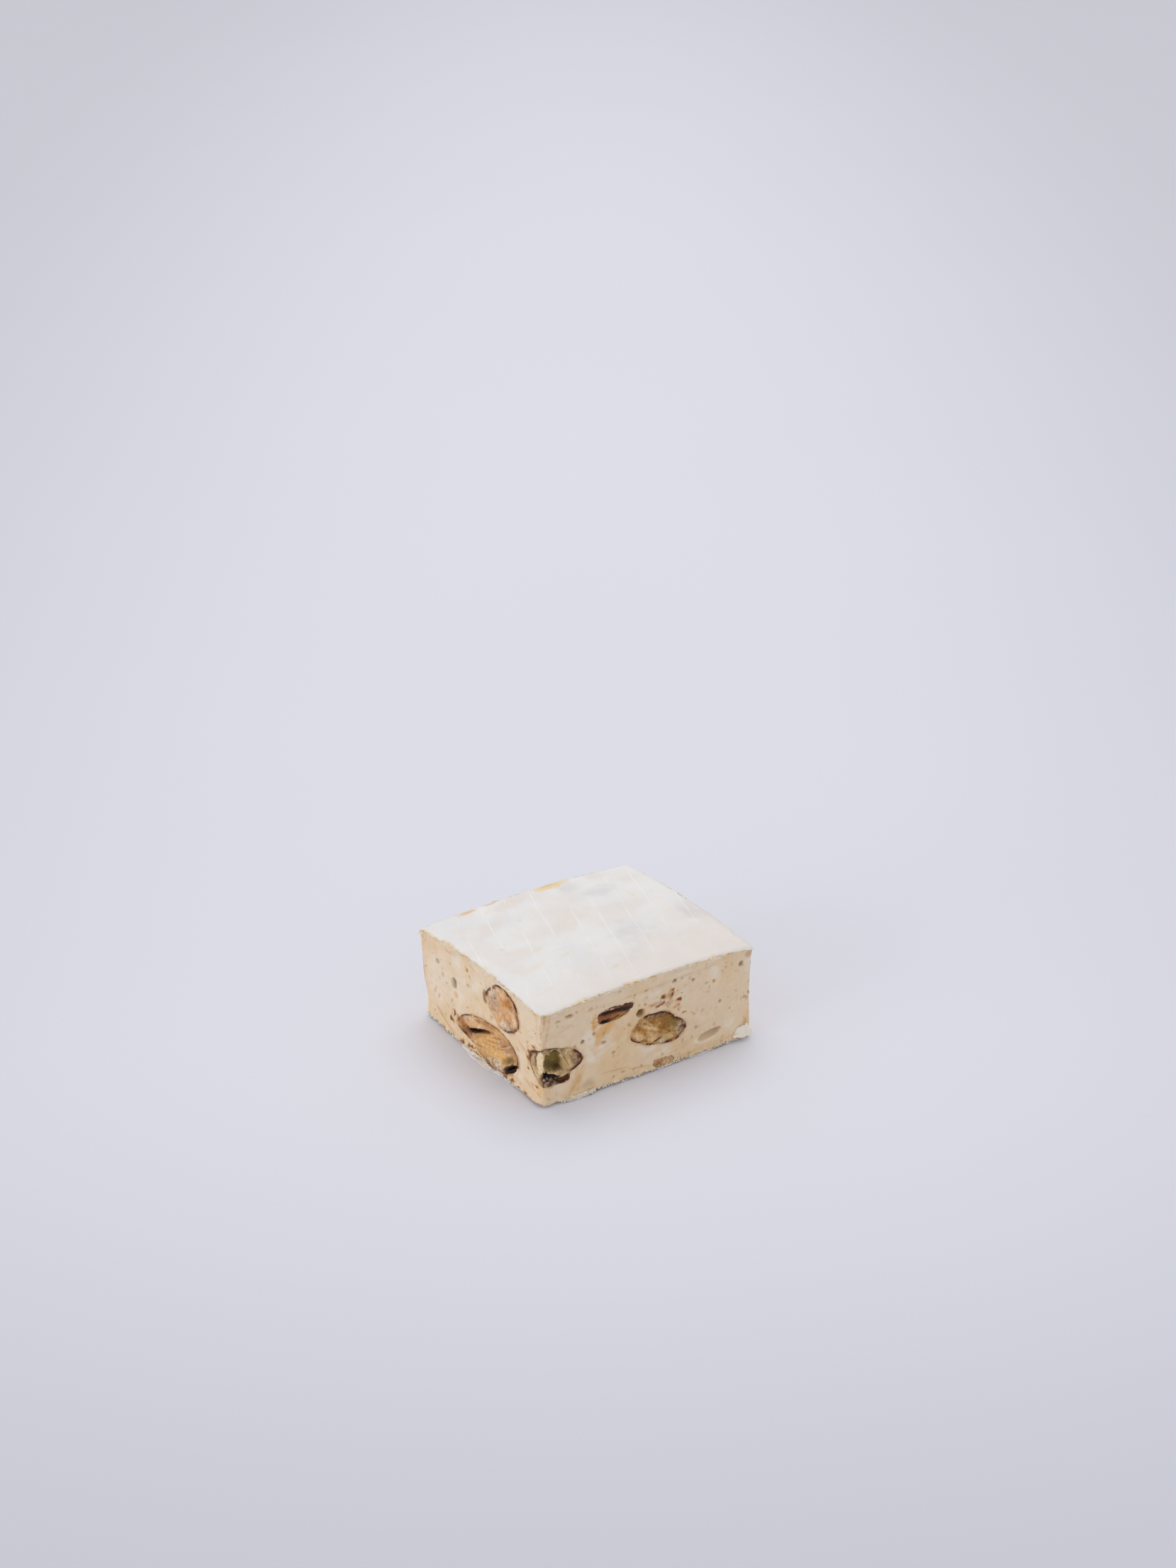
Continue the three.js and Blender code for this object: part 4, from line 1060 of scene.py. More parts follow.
# along the side, height, half length, half height: the bits of skin that show singly
skinBits = {
    "front": [
        (5.6, 15.2, 0.55, 0.6), (5.9, 15.7, 0.35, 0.3), (3.8, 15.3, 0.3, 0.45), (3.4, 15.7, 0.25, 0.25),
        (6.1, 16.4, 0.25, 0.16), (7.3, 13.8, 0.55, 0.3), (3.6, 14.1, 0.5, 0.2), (2.3, 13.8, 0.35, 0.2),
        (1.3, 14.2, 0.3, 0.2), (5.3, 13.3, 0.4, 0.2), (6.6, 12.3, 0.25, 0.2), (7.2, 11.7, 0.2, 0.16),
        (8.6, 10.5, 0.3, 0.18), (-0.7, 15.2, 0.35, 0.2), (-4.5, 11.7, 0.3, 0.16), (-3.2, 18.0, 0.2, 0.12),
        (6.5, 0.8, 0.3, 0.3), (24.2, 1.2, 0.45, 0.5), (24.6, 10.0, 0.2, 0.25), (-0.4, 18.3, 0.3, 0.16),
        (-24.4, 4.6, 0.5, 0.3),
    ],
    "left": [
        (7.0, 0.6, 0.8, 0.6), (3.4, 1.4, 0.9, 0.45), (4.6, 1.0, 0.5, 0.3), (10.2, 5.8, 0.5, 0.5),
        (11.4, 4.1, 0.6, 0.4), (1.2, 0.9, 0.4, 0.3), (-11.2, 1.0, 0.7, 0.4), (-8.6, 0.7, 0.5, 0.25),
        (-13.4, 0.8, 0.5, 0.4), (-15.8, 0.9, 0.5, 0.35), (-19.2, 3.9, 0.5, 0.35), (-16.4, 6.6, 0.35, 0.35),
        (-16.2, 8.6, 0.3, 0.6), (-16.6, 10.2, 0.3, 0.6), (-18.0, 12.0, 0.8, 0.3), (5.6, 9.2, 0.25, 0.12),
    ],
    "right": [
        (3.0, 16.6, 0.6, 0.4), (1.6, 15.4, 0.35, 0.5), (-17.0, 3.4, 0.5, 0.4), (16.2, 1.6, 0.7, 0.35),
        (-2.0, 1.0, 0.8, 0.35), (14.4, 9.0, 0.4, 0.3),
    ],
    "back": [
        (-4.6, 14.4, 0.5, 0.7), (-6.2, 13.6, 0.4, 0.3), (8.8, 9.4, 0.4, 0.5), (9.8, 1.2, 0.8, 0.4),
        (-16.0, 2.0, 0.5, 0.4), (21.8, 5.0, 0.3, 0.4),
    ],
}


def nearWindow(ways, heights, way, height, size):
    # Rows and columns of the wall's grid within `size` mm of a place: a mark touches only its own part.
    columns = np.nonzero(np.abs(wayGap(ways, way)) < size)[0]
    rows = np.nonzero(np.abs(heights.mean(axis=1) - height) < size + 1)[0]
    return np.ix_(rows, columns)


def nougatTint(way, heights, base, slant):
    # Washes of cream, then the stains and the painted shade and light: ovals frayed by noise, the long ones
    # streaked along their length.
    spaces = {"wall": base, "slant": slant}
    colour = washed(np.zeros(base.shape) + nougat["cream"], spaces, nougat, nougat["washes"])
    colour = over(colour, nougat["warm"], 0.5 * (1 - rise(*nougat["warmFoot"], heights)))
    fuzz = mixed(base, nougat["stainFray"])
    lengthways, crossways = nougat["streakStretch"]
    for side, along, height, a, b, tilt, name, strength in placed(stainsAndShading):
        area = nearWindow(way[0], heights, wayTo(side, along), height, 1.6 * max(a, b) + 0.5)
        gap = sideGap(way[area], side, along)
        r = ovalReach(gap, heights[area], (0, height, a, b, tilt)) + fuzz[area]
        ahead, across = turned(gap, heights[area], tilt)
        run = np.stack([lengthways * ahead, crossways * across, 0 * across + a], -1)
        streak = rise(-0.55, 0.35, cloud(run, 1.0, 2.2)) if a > 2 * b or b > 2 * a else 1.0
        cover = 1 - rise(*nougat["stainEdge"], r)
        colour[area] = over(colour[area], nougat[name], strength * streak * cover)
    return colour, fuzz


def addSpecks(colour, way, heights, fuzz, rng):
    # Small ovals of a deeper or paler tone, scattered over the whole wall.
    for _ in range(nougat["specks"]):
        middle, height = rng.uniform(0, wayRound), rng.uniform(*nougat["speckHeights"])
        a, b = rng.uniform(*nougat["speckLength"]), rng.uniform(*nougat["speckWidth"])
        tone = nougat["speckTones"][rng.integers(len(nougat["speckTones"]))]
        area = nearWindow(way[0], heights, middle, height, 1.5)
        gap = wayGap(way[area], middle)
        r = ovalReach(gap, heights[area], (0, height, a, b, rng.uniform(0, 180))) + fuzz[area]
        cover = rng.uniform(*nougat["speckStrength"]) * (1 - rise(*nougat["speckEdge"], r))
        colour[area] = over(colour[area], nougat[tone], cover)


def addPits(inward, colour, way, heights, base, rng):
    # Bubbles: bowls with a raised lip, with painted shade at their upper end and a painted highlight on the
    # lip at their lower one.
    pits = [(wayTo(side, along), sideSign[side], *rest) for side, along, *rest in placed(bubbles)]
    for _ in range(nougat["microPits"]):
        size = rng.uniform(*nougat["pitSize"])
        middle, height = rng.uniform(0, wayRound), rng.uniform(*nougat["pitHeights"])
        stretch, tilt = rng.uniform(*nougat["pitStretch"]), rng.uniform(0, 180)
        pits.append((middle, 1, height, size * stretch, size, tilt, size * rng.uniform(*nougat["pitDepth"])))
    for middle, sign, height, a, b, tilt, depth in pits:
        area = nearWindow(way[0], heights, middle, height, 1.6 * max(a, b) + 0.4)
        gap = wayGap(way[area], middle)
        r = ovalReach(gap * sign, heights[area], (0, height, a, b, tilt))
        r = r + mixed(base[area], nougat["pitFray"])
        bowl = np.sqrt(np.clip(1 - r**3, 0, 1))
        lean = np.clip(0.5 * gap / a + 0.7 * (heights[area] - height) / b, -1, 1)
        lip = nougat["lipHeight"] * np.exp(-(((r - nougat["lipAt"]) / nougat["lipWidth"]) ** 2))
        inward[area] = inward[area] + depth * bowl * (1 + nougat["pitLean"] * lean) - lip
        # Long bubbles are shallow for their length, so they are shaded less.
        most = min(1.0, nougat["shadeSpan"] / a)
        dim = np.clip(0.6 + 0.4 * lean + 0.35 * max(0.0, depth - 1.2), 0, 1) * most
        shade = np.clip(1.4 * depth, 0, 1) * rise(0.05, 0.8, bowl) * dim
        colour[area] = over(colour[area], nougat["pitShade"], shade)
        # Painted highlight: a pale crescent on the lip at the lower side.
        paintedLipHighlight = np.exp(-(((r - nougat["lipAt"]) / nougat["lipHighlightWidth"]) ** 2)) * rise(0.0, 0.8, -lean)
        colour[area] = over(colour[area], nougat["pale"], paintedLipHighlight * np.clip(depth, 0, 1))


def addSplashes(inward, colour, way, heights, base):
    # Splashes of brown skin: an oval broken up by fine noise, in a thin mist of tan.
    spread = nougat["splashSpread"]
    for side, along, height, a, b in placed(skinBits):
        area = nearWindow(way[0], heights, wayTo(side, along), height, 2.2 * max(a, b) + 0.6)
        gap = sideGap(way[area], side, along)
        r = np.hypot(gap / (spread * a), (heights[area] - height) / (spread * b))
        broken = mixed(base[area], nougat["splashBroken"])
        splash = rise(*nougat["splashEdge"], 0.9 - 0.9 * r + broken)
        mist = rise(*nougat["mistEdge"], 1.1 - 0.7 * r + 1.3 * broken)
        colour[area] = over(colour[area], nougat["tan"], 0.5 * mist)
        colour[area] = over(colour[area], nougat["rust"], 0.7 * splash)
        colour[area] = over(colour[area], nougat["skin"], rise(0.3, 0.9, splash))
        inward[area] = inward[area] - nougat["splashRelief"] * splash


def addPockets(inward, colour, way, heights, base):
    # A deep pocket for each almond, a shallow moat along its rim and a brown line where the two meet.
    for nut in almonds.values():
        middle = wayTo(nut["side"], nut["along"])
        area = nearWindow(way[0], heights, middle, nut["height"], 1.5 * nut["half"][0] + 1)
        r, outside = nutReach(nut, way[area], heights[area])
        rim = nougat["pocketRim"]
        fall = np.sqrt(np.clip(1 - (r / rim) ** nougat["pocketPower"], 0, 1))
        ditch = np.exp(-(((outside - nougat["moatAt"]) / nougat["moatWidth"]) ** 2))
        ditch = ditch * rise(-0.3, 0.6, noise(base[area], 1.7, 9.2))
        near = inward[area] * rise(0.0, 0.5, outside) + nougat["moat"] * ditch
        inward[area] = np.where(r < rim, (nut["deep"] + nougat["pocketExtra"]) * fall, near)
        line = nut.get("line", 1.0) * rise(-0.5, 0.3, noise(base[area], 1.4, 6.2))
        halo = np.exp(-((outside / nougat["haloWidth"]) ** 2))
        inner = 1 - rise(*nougat["lineBetween"], outside)
        colour[area] = over(colour[area], nougat["tan"], 0.35 * line * halo)
        colour[area] = over(colour[area], nougat["rust"], 0.5 * line * inner)


def makeNougat():
    # The wall is a grid of height over way round. The two caps, hidden by the sheets, draw its ends together.
    seen = np.linspace(-bar["depth"], bar["length"], nougat["columnsSeen"], endpoint=False)
    hidden = np.linspace(bar["length"], wayRound - bar["depth"], nougat["columnsHidden"], endpoint=False)
    ways = np.concatenate([seen, hidden])
    rows, columns = nougat["rows"], len(ways)
    place, _ = outline(ways, cornerWidth(ways))
    top = topHeight(place[:, 0] / halfLength, place[:, 1] / halfDepth) - nougat["underSheet"]
    share = np.linspace(0, 1, rows)[:, None]
    heights = foot + share * (top[None, :] - foot)
    way = np.broadcast_to(ways, heights.shape)
    base = wallPoint(way, heights)
    # The knife draws the soft mass into faint ridges that run slantwise.
    slant = np.stack([0.16 * (way + 0.6 * heights), 0.9 * (heights - 0.35 * way), 0 * way], -1)
    inward = nougat["grain"] * cloud(base, nougat["grainSize"], 1.9)
    inward = inward + nougat["drag"] * cloud(slant, nougat["dragSize"], 3.9)
    rng = np.random.default_rng(nougat["seed"])
    colour, fuzz = nougatTint(way, heights, base, slant)
    addSpecks(colour, way, heights, fuzz, rng)
    addPits(inward, colour, way, heights, base, rng)
    addSplashes(inward, colour, way, heights, base)
    # Upright ripples at the top of the front left corner, where the knife first went in, with tan and painted
    # shade laid along them.
    gap = wayGap(way, 0.0)
    corner = np.exp(-((gap / nougat["rippleReach"]) ** 2)) * rise(*nougat["rippleBetween"], heights)
    aside, upright = nougat["rippleStretch"]
    ripple = cloud(np.stack([aside * gap, upright * heights, 0 * way], -1), 1.0, 4.4)
    inward = inward + nougat["rippleDepth"] * corner * ripple
    colour = over(colour, nougat["tan"], 0.65 * corner * rise(0.1, 0.6, ripple))
    colour = over(colour, nougat["pitShade"], 0.4 * corner * rise(0.1, 0.6, -ripple))
    addPockets(inward, colour, way, heights, base)
    # The foot and the top edge crumble, with grit on them.
    low = 1 - rise(*nougat["footBand"], heights)
    high = rise(*nougat["topBand"], heights - top[None, :])
    grit = rise(0.05, 0.5, noise(base, 0.62, 3.3)) + 0.6 * rise(0.1, 0.5, noise(base, 0.36, 1.3))
    inward = inward + low * (nougat["crumble"] * (0.3 + cloud(base, 1.1, 5.2)) - nougat["grit"] * grit)
    inward = inward + high * (nougat["crumbleTop"] * cloud(base, 0.9, 8.8) - nougat["gritTop"] * grit)
    colour = over(colour, nougat["pale"], 0.5 * np.maximum(low, high) * np.clip(grit, 0, 1))
    patches = rise(0.0, 0.5, cloud(base, 1.6, 4.8))
    colour = over(colour, nougat["smear"], 0.55 * high * patches)
    colour = over(colour, nougat["tan"], 0.4 * low * patches * (1 - np.clip(grit, 0, 1)))
    wall = wallPoint(way, heights, inward)
    wall[..., 2] = wall[..., 2] + low * nougat["footWave"] * (1 - share) * cloud(base, 0.8, 0.9)
    wall[..., 2] = np.maximum(wall[..., 2], nougat["footLowest"])

    def cap(row, isTop):
        # Rings that draw one end of the wall together, and the point they close on.
        rings = []
        for scale in nougat["capRings"]:
            ring = wall[row] * np.array([scale, scale, 1.0])
            flatTop = topHeight(ring[:, 0] / halfLength, ring[:, 1] / halfDepth) - nougat["underSheet"]
            ring[:, 2] = flatTop if isTop else foot
            rings.append(ring[None])
        return rings, np.array([[0.0, 0.0, topHeight(0, 0) - nougat["underSheet"] if isTop else foot]])

    below, lowTip = cap(0, False)
    above, highTip = cap(rows - 1, True)
    stack = np.concatenate([below[1], below[0], wall, above[0], above[1]])
    points = np.concatenate([stack.reshape(-1, 3), lowTip, highTip])
    faces = ringFaces(len(stack), columns, False)
    plain = np.zeros((2 * columns, 3)) + nougat["cream"]
    paint = np.concatenate([plain, colour.reshape(-1, 3), plain, plain[:2]])
    return makePiece("nougat_body", points, faces, nougatCream, ["nougat"], paint)


makeNougat()
print("nougat made")


# The top sheet: thin white wafer paper that shows faint lines from its mould and what lies under it.

topWafer = {
    "across": 290, "deep": 250, "thickness": 0.3, "rimThickness": 0.1, "least": 0.08,
    "swell": 0.07, "hang": 0.5,
    "ragged": ((cloud, 0.3, 1.3, 3.7), (cloud, 0.16, 0.45, 1.9)), "outward": 0.06, "farOutward": 0.34,
    "farClean": 0.85, "sunk": 0.02, "cornerCut": (0.25, 0.55),
    "white": srgb(240, 237, 235), "cool": srgb(230, 229, 230), "blush": srgb(234, 223, 216),
    "grey": srgb(198, 194, 198), "yellow": srgb(240, 214, 170), "tan": srgb(226, 184, 136),
    "line": srgb(250, 248, 246), "rim": srgb(243, 220, 182),
    "washes": (
        ("cool", 0.6, -0.2, 0.9, noise, "top", 6.5, 2.0), ("blush", 0.5, 0.0, 0.9, noise, "top", 5.0, 8.0),
    ),
    "lineDirection": (-0.30, -0.954), "lineWidth": 0.14, "lineHeight": 0.045, "lineWander": 0.12,
    "lineTwin": 0.85, "twinStrength": 0.5,
    "lineOffsets": (-23.3, -17.6, -12.3, -6.5, -0.4, 4.6, 10.5, 16.0, 22.3, 27.4),
}
# x, y, half length, half width, tilt, colour, strength
sheetMarks = [
    (7.6, 18.2, 2.8, 2.0, 20, "grey", 0.3), (12.1, 13.5, 3.2, 2.1, 10, "grey", 0.3),
    (23.0, -4.8, 2.4, 4.4, 10, "grey", 0.4), (7.5, -4.5, 4.8, 3.6, 30, "grey", 0.3),
    (5.0, 21.2, 4.2, 1.7, 4, "yellow", 1.0), (4.4, 21.4, 2.4, 0.8, 4, "tan", 0.45),
    (-14.8, 21.0, 2.4, 0.8, 0, "tan", 0.8), (-9.2, 21.1, 1.8, 0.6, 0, "tan", 0.7),
    (-6.0, 19.0, 4.0, 2.0, 20, "blush", 0.8), (16.8, 8.1, 0.3, 0.3, 0, "yellow", 0.7),
    (-8.1, -5.2, 1.2, 0.6, 20, "yellow", 0.5), (-3.2, -14.7, 0.9, 0.6, 0, "tan", 0.35),
    (-11.6, -0.4, 1.6, 0.7, 30, "yellow", 0.25), (-8.3, 11.5, 0.5, 0.4, 0, "tan", 0.3),
    (-17.6, 3.2, 0.7, 0.5, 0, "tan", 0.3), (-16.0, -6.0, 5.0, 1.0, 20, "yellow", 0.18),
    (0.0, 6.0, 7.0, 2.4, 34, "blush", 0.6), (-15.0, 12.0, 5.0, 2.0, 30, "blush", 0.6),
    (4.0, -12.0, 6.0, 1.8, 28, "grey", 0.14), (17.0, -12.0, 3.0, 2.0, 0, "blush", 0.5),
]


def makeTopSheet():
    # A grid over the block's top, its rim torn a little in and out and drawn down over the edge. The two far
    # rims reach further over the nougat than the near ones and stay white.
    u, v = np.meshgrid(np.linspace(-1, 1, topWafer["across"]), np.linspace(-1, 1, topWafer["deep"]))
    flat = np.stack([u * halfLength, v * halfDepth, 0 * u], -1)
    far = rise(0.9, 0.99, np.maximum(u, v))
    rag = mixed(flat, topWafer["ragged"]) + topWafer["outward"] + topWafer["farOutward"] * far
    cut, nearCut = topWafer["cornerCut"]
    cornerCut = (cut + nearCut * ((u < 0) & (v < 0))) * np.abs(u * v) ** 22
    x = u * halfLength + np.sign(u) * (rag * np.abs(u) ** 30 - cornerCut) - leanOf(u, v, 1.0)
    y = v * halfDepth + np.sign(v) * (rag * np.abs(v) ** 30 - cornerCut)
    place = np.stack([x, y, 0 * x], -1)
    edge = np.minimum(halfLength * (1 - np.abs(u)), halfDepth * (1 - np.abs(v)))
    # The mould's lines: raised, broken here and there, some with a fainter twin beside them.
    dx, dy = topWafer["lineDirection"]
    across, run = x * -dy + y * dx, x * dx + y * dy
    width = topWafer["lineWidth"]
    ridge = 0.0

    def alongLine(row, size, shift=0.0):
        return noise(np.stack([run, 0 * run + row, 0 * run], -1), size, shift)

    for k, offset in enumerate(topWafer["lineOffsets"]):
        wander = offset + topWafer["lineWander"] * np.sin(0.4 * run + k)
        broken = rise(-0.35, 0.25, alongLine(9.7 * k, 3.1, 1.7))
        ridge = ridge + np.exp(-(((across - wander) / width) ** 2)) * broken
        side = wander + topWafer["lineTwin"] + 0.2 * alongLine(4.1 * k, 2.3)
        faint = rise(0.15, 0.5, alongLine(2.3 * k, 2.7, 5.1))
        ridge = ridge + topWafer["twinStrength"] * np.exp(-(((across - side) / (0.8 * width)) ** 2)) * faint
    z = topHeight(u, v) - topWafer["sunk"] + topWafer["swell"] * noise(place, 5.5, 7.0)
    z = z + 0.02 * cloud(place, 1.4, 1.1)
    extra = topWafer["thickness"] - topWafer["rimThickness"]
    thick = topWafer["rimThickness"] + extra * rise(0.0, 1.2, edge)
    hanging = rise(-0.5, 0.5, noise(place, 2.2, 5.9)) * topWafer["hang"]
    droop = 0.1 * (1 - rise(0.0, 0.9, edge)) + hanging * (1 - rise(0.0, 0.3, edge))
    upper = z + thick + topWafer["lineHeight"] * ridge - droop
    lower = np.minimum(z - 0.03, upper - topWafer["least"])
    colour = washed(np.zeros(place.shape) + topWafer["white"], {"top": place}, topWafer, topWafer["washes"])
    fuzz = 0.5 * cloud(place, 2.0, 4.0)
    for mx, my, a, b, tilt, name, strength in sheetMarks:
        cover = 1 - rise(0.35, 1.35, ovalReach(x, y, (mx, my, a, b, tilt)) + fuzz)
        colour = over(colour, topWafer[name], strength * cover)
    colour = over(colour, topWafer["yellow"], 0.22 * rise(0.35, 0.8, cloud(place, 1.5, 6.0)))
    colour = over(colour, topWafer["line"], np.clip(0.6 * ridge, 0, 1))
    # Painted shade: the sheet turns darker and pinker towards the front.
    colour = over(colour, topWafer["blush"], 0.7 * rise(0.1, 1.0, 0.3 * u - v))
    # The near rims are toasted in patches and smeared with nougat along their very edge.
    near = 1 - topWafer["farClean"] * far
    rimTint = near * (1 - rise(0.1, 1.1, edge + 0.5 * cloud(place, 0.9, 2.5)))
    rimTint = rimTint * rise(-0.3, 0.5, noise(place, 2.6, 9.0))
    smear = near * (1 - rise(0.05, 0.45, edge + 0.3 * cloud(place, 0.5, 2.5)))
    colour = over(colour, topWafer["yellow"], 0.55 * rimTint)
    colour = over(colour, topWafer["tan"], 0.6 * rimTint * rise(0.1, 0.6, noise(place, 1.3, 5.0)))
    colour = over(colour, topWafer["rim"], 0.75 * smear)
    both = np.stack([np.stack([x, y, upper], -1), np.stack([x, y, lower], -1)])
    faces = [sheetFaces(*u.shape)]
    paint = np.concatenate([colour.reshape(-1, 3)] * 2)
    return makePiece("wafer_sheet_top", both.reshape(-1, 3), faces, waferPaper, ["wafer_top"], paint)


makeTopSheet()
print("top sheet made")


# The bottom sheet, torn along its edge and standing out of the block here and there as a thin film.

bottomWafer = {
    "columns": 900, "rings": 16, "inner": 3.0, "thickness": 0.14, "rimThickness": 0.05, "least": 0.04,
    "setback": 0.8, "reach": 1.45, "under": 0.02, "crinkle": 0.1,
    "tear": ((cloud, 0.4, 2.6, 2.2), (cloud, 0.24, 0.9, 6.4), (noise, 0.1, 0.3, 1.4)),
    "white": srgb(248, 240, 230), "film": srgb(252, 245, 241), "toast": srgb(206, 168, 122),
    "grey": srgb(234, 226, 222),
}
# along the side, half width, reach as a share of the most
flaps = {
    "left": [(-0.2, 8.6, 0.8), (-9.0, 5.0, 0.3)],
    "front": [(-16.6, 3.6, 0.55), (4.0, 4.0, 0.3), (13.0, 4.0, 0.35), (21.0, 2.4, 0.3)],
    "right": [(4.0, 8.0, 0.9), (-14.0, 6.0, 0.35)],
    "back": [(-6.0, 9.0, 0.7), (15.0, 7.0, 0.45)],
}


def makeBottomSheet():
    # Rings round the block's foot, from a little way in out to the torn rim, above and below.
    ways = np.linspace(0, wayRound, bottomWafer["columns"], endpoint=False)
    _, normal = outline(ways, cornerWidth(ways))
    wallFoot = wallPoint(ways, np.full_like(ways, foot))
    around = np.stack([wallFoot[:, 0], wallFoot[:, 1], 0 * ways], -1)
    out = np.zeros_like(ways)
    for side, along, half, share in placed(flaps):
        gap = wayGap(ways, wayTo(side, along)) / half
        out = np.maximum(out, share * np.clip(1 - gap**2, 0, 1) ** 0.6)
    setback, inner = bottomWafer["setback"], bottomWafer["inner"]
    reach = -setback + (bottomWafer["reach"] + setback) * out + mixed(around, bottomWafer["tear"])
    share = np.linspace(0, 1, bottomWafer["rings"])[:, None]
    outward = -inner + share * (reach + inner)
    x = wallFoot[:, 0] + normal[:, 0] * outward
    y = wallFoot[:, 1] + normal[:, 1] * outward
    flat = np.stack([x, y, 0 * x], -1)
    free = rise(-0.4, 0.8, outward)
    curl = free * (0.1 + 0.24 * noise(flat, 3.3, 1.0) + 0.1 * cloud(flat, 0.9, 3.0)) * (1 - 0.7 * share**4)
    # Where it stands free of the block it lifts off the floor a little and crinkles.
    under = np.where(free > 0, 0.02 + np.maximum(0, curl) * rise(0.0, 0.5, 1.02 - share + 0 * x), 0.0)
    thin = bottomWafer["thickness"] + (bottomWafer["rimThickness"] - bottomWafer["thickness"]) * share**6
    fade = rise(-1.2, 0.3, outward)
    level = foot - bottomWafer["under"]
    upper = (1 - fade) * level + fade * (under + thin)
    crinkle = bottomWafer["crinkle"] * free * (1 - share**4) * rise(-0.2, 0.8, cloud(flat, 0.4, 8.0))
    upper = np.maximum(upper, under + bottomWafer["least"]) + crinkle
    top = np.stack([x, y, upper], -1)
    bottom = np.stack([x, y, under], -1)[::-1]
    stack = np.concatenate([top, bottom])
    points = np.concatenate([stack.reshape(-1, 3), [[0, 0, level], [0, 0, 0.0]]])
    faces = ringFaces(len(stack), len(ways), True)
    colour = np.zeros(flat.shape) + bottomWafer["film"]
    colour = over(colour, bottomWafer["white"], rise(-0.1, 0.7, cloud(flat, 1.4, 5.0)))
    colour = over(colour, bottomWafer["toast"], 0.4 * rise(0.1, 0.8, cloud(flat, 1.0, 1.5)) * (1 - free))
    colour = over(colour, bottomWafer["grey"], 0.5 * free * rise(-0.2, 0.5, noise(flat, 4.0, 2.0)))
    paint = np.concatenate([colour.reshape(-1, 3), colour[::-1].reshape(-1, 3), colour[0, :2]])
    return makePiece("wafer_sheet_bottom", points, faces, waferPaper, ["wafer_bottom"], paint)


makeBottomSheet()
print("bottom sheet made")


# Crumbs, granules and bits of brown almond skin: small uneven balls, pressed flat against what they stick to.

ballGrid = {"rings": 4, "spokes": 8, "unevenness": 0.7, "mottle": 0.16, "lowest": 0.03}


def makeLumps(name, material, way, height, inward, sizes, tints, seed):
    # An uneven ball for each place, with three half sizes: along the wall, up and out of it.
    rng = np.random.default_rng(seed)
    rings, spokes = ballGrid["rings"], ballGrid["spokes"]
    polar = np.linspace(0, np.pi, rings + 2)[1:-1]
    azimuth = np.linspace(0, 2 * np.pi, spokes, endpoint=False)
    wide, tall = np.sin(polar)[:, None], np.cos(polar)[:, None]
    body = np.stack([wide * np.cos(azimuth), wide * np.sin(azimuth), tall + 0 * azimuth], -1)
    ball = np.concatenate([body.reshape(-1, 3), [[0, 0, 1], [0, 0, -1]]])
    count = len(way)
    rough = 1 + ballGrid["unevenness"] * (rng.random((count, len(ball), 1)) - 0.5)
    local = ball[None] * rough
    spin = rng.uniform(0, 2 * np.pi, count)[:, None]
    a = local[..., 0] * sizes[:, None, 0]
    b = local[..., 1] * sizes[:, None, 1]
    along, up = a * np.cos(spin) - b * np.sin(spin), a * np.sin(spin) + b * np.cos(spin)
    out = local[..., 2] * sizes[:, None, 2]
    centre = wallPoint(way, height, inward)
    _, normal = outline(way, cornerWidth(way))
    nx, ny = normal[:, None, 0], normal[:, None, 1]
    x, y, z = np.moveaxis(centre[:, None], -1, 0)
    points = np.stack([x - ny * along + nx * out, y + nx * along + ny * out, z + up], -1)
    points[..., 2] = np.maximum(points[..., 2], ballGrid["lowest"])
    shift = (np.arange(count) * len(ball))[:, None, None]
    faces = [(one[None] + shift).reshape(-1, one.shape[1]) for one in ringFaces(rings, spokes, True)]
    shade = 1 + ballGrid["mottle"] * (rng.random((count, len(ball), 1)) - 0.5)
    paint = (tints[:, None, :] * shade).reshape(-1, 3)
    return makePiece(name, points.reshape(-1, 3), faces, material, (), paint)


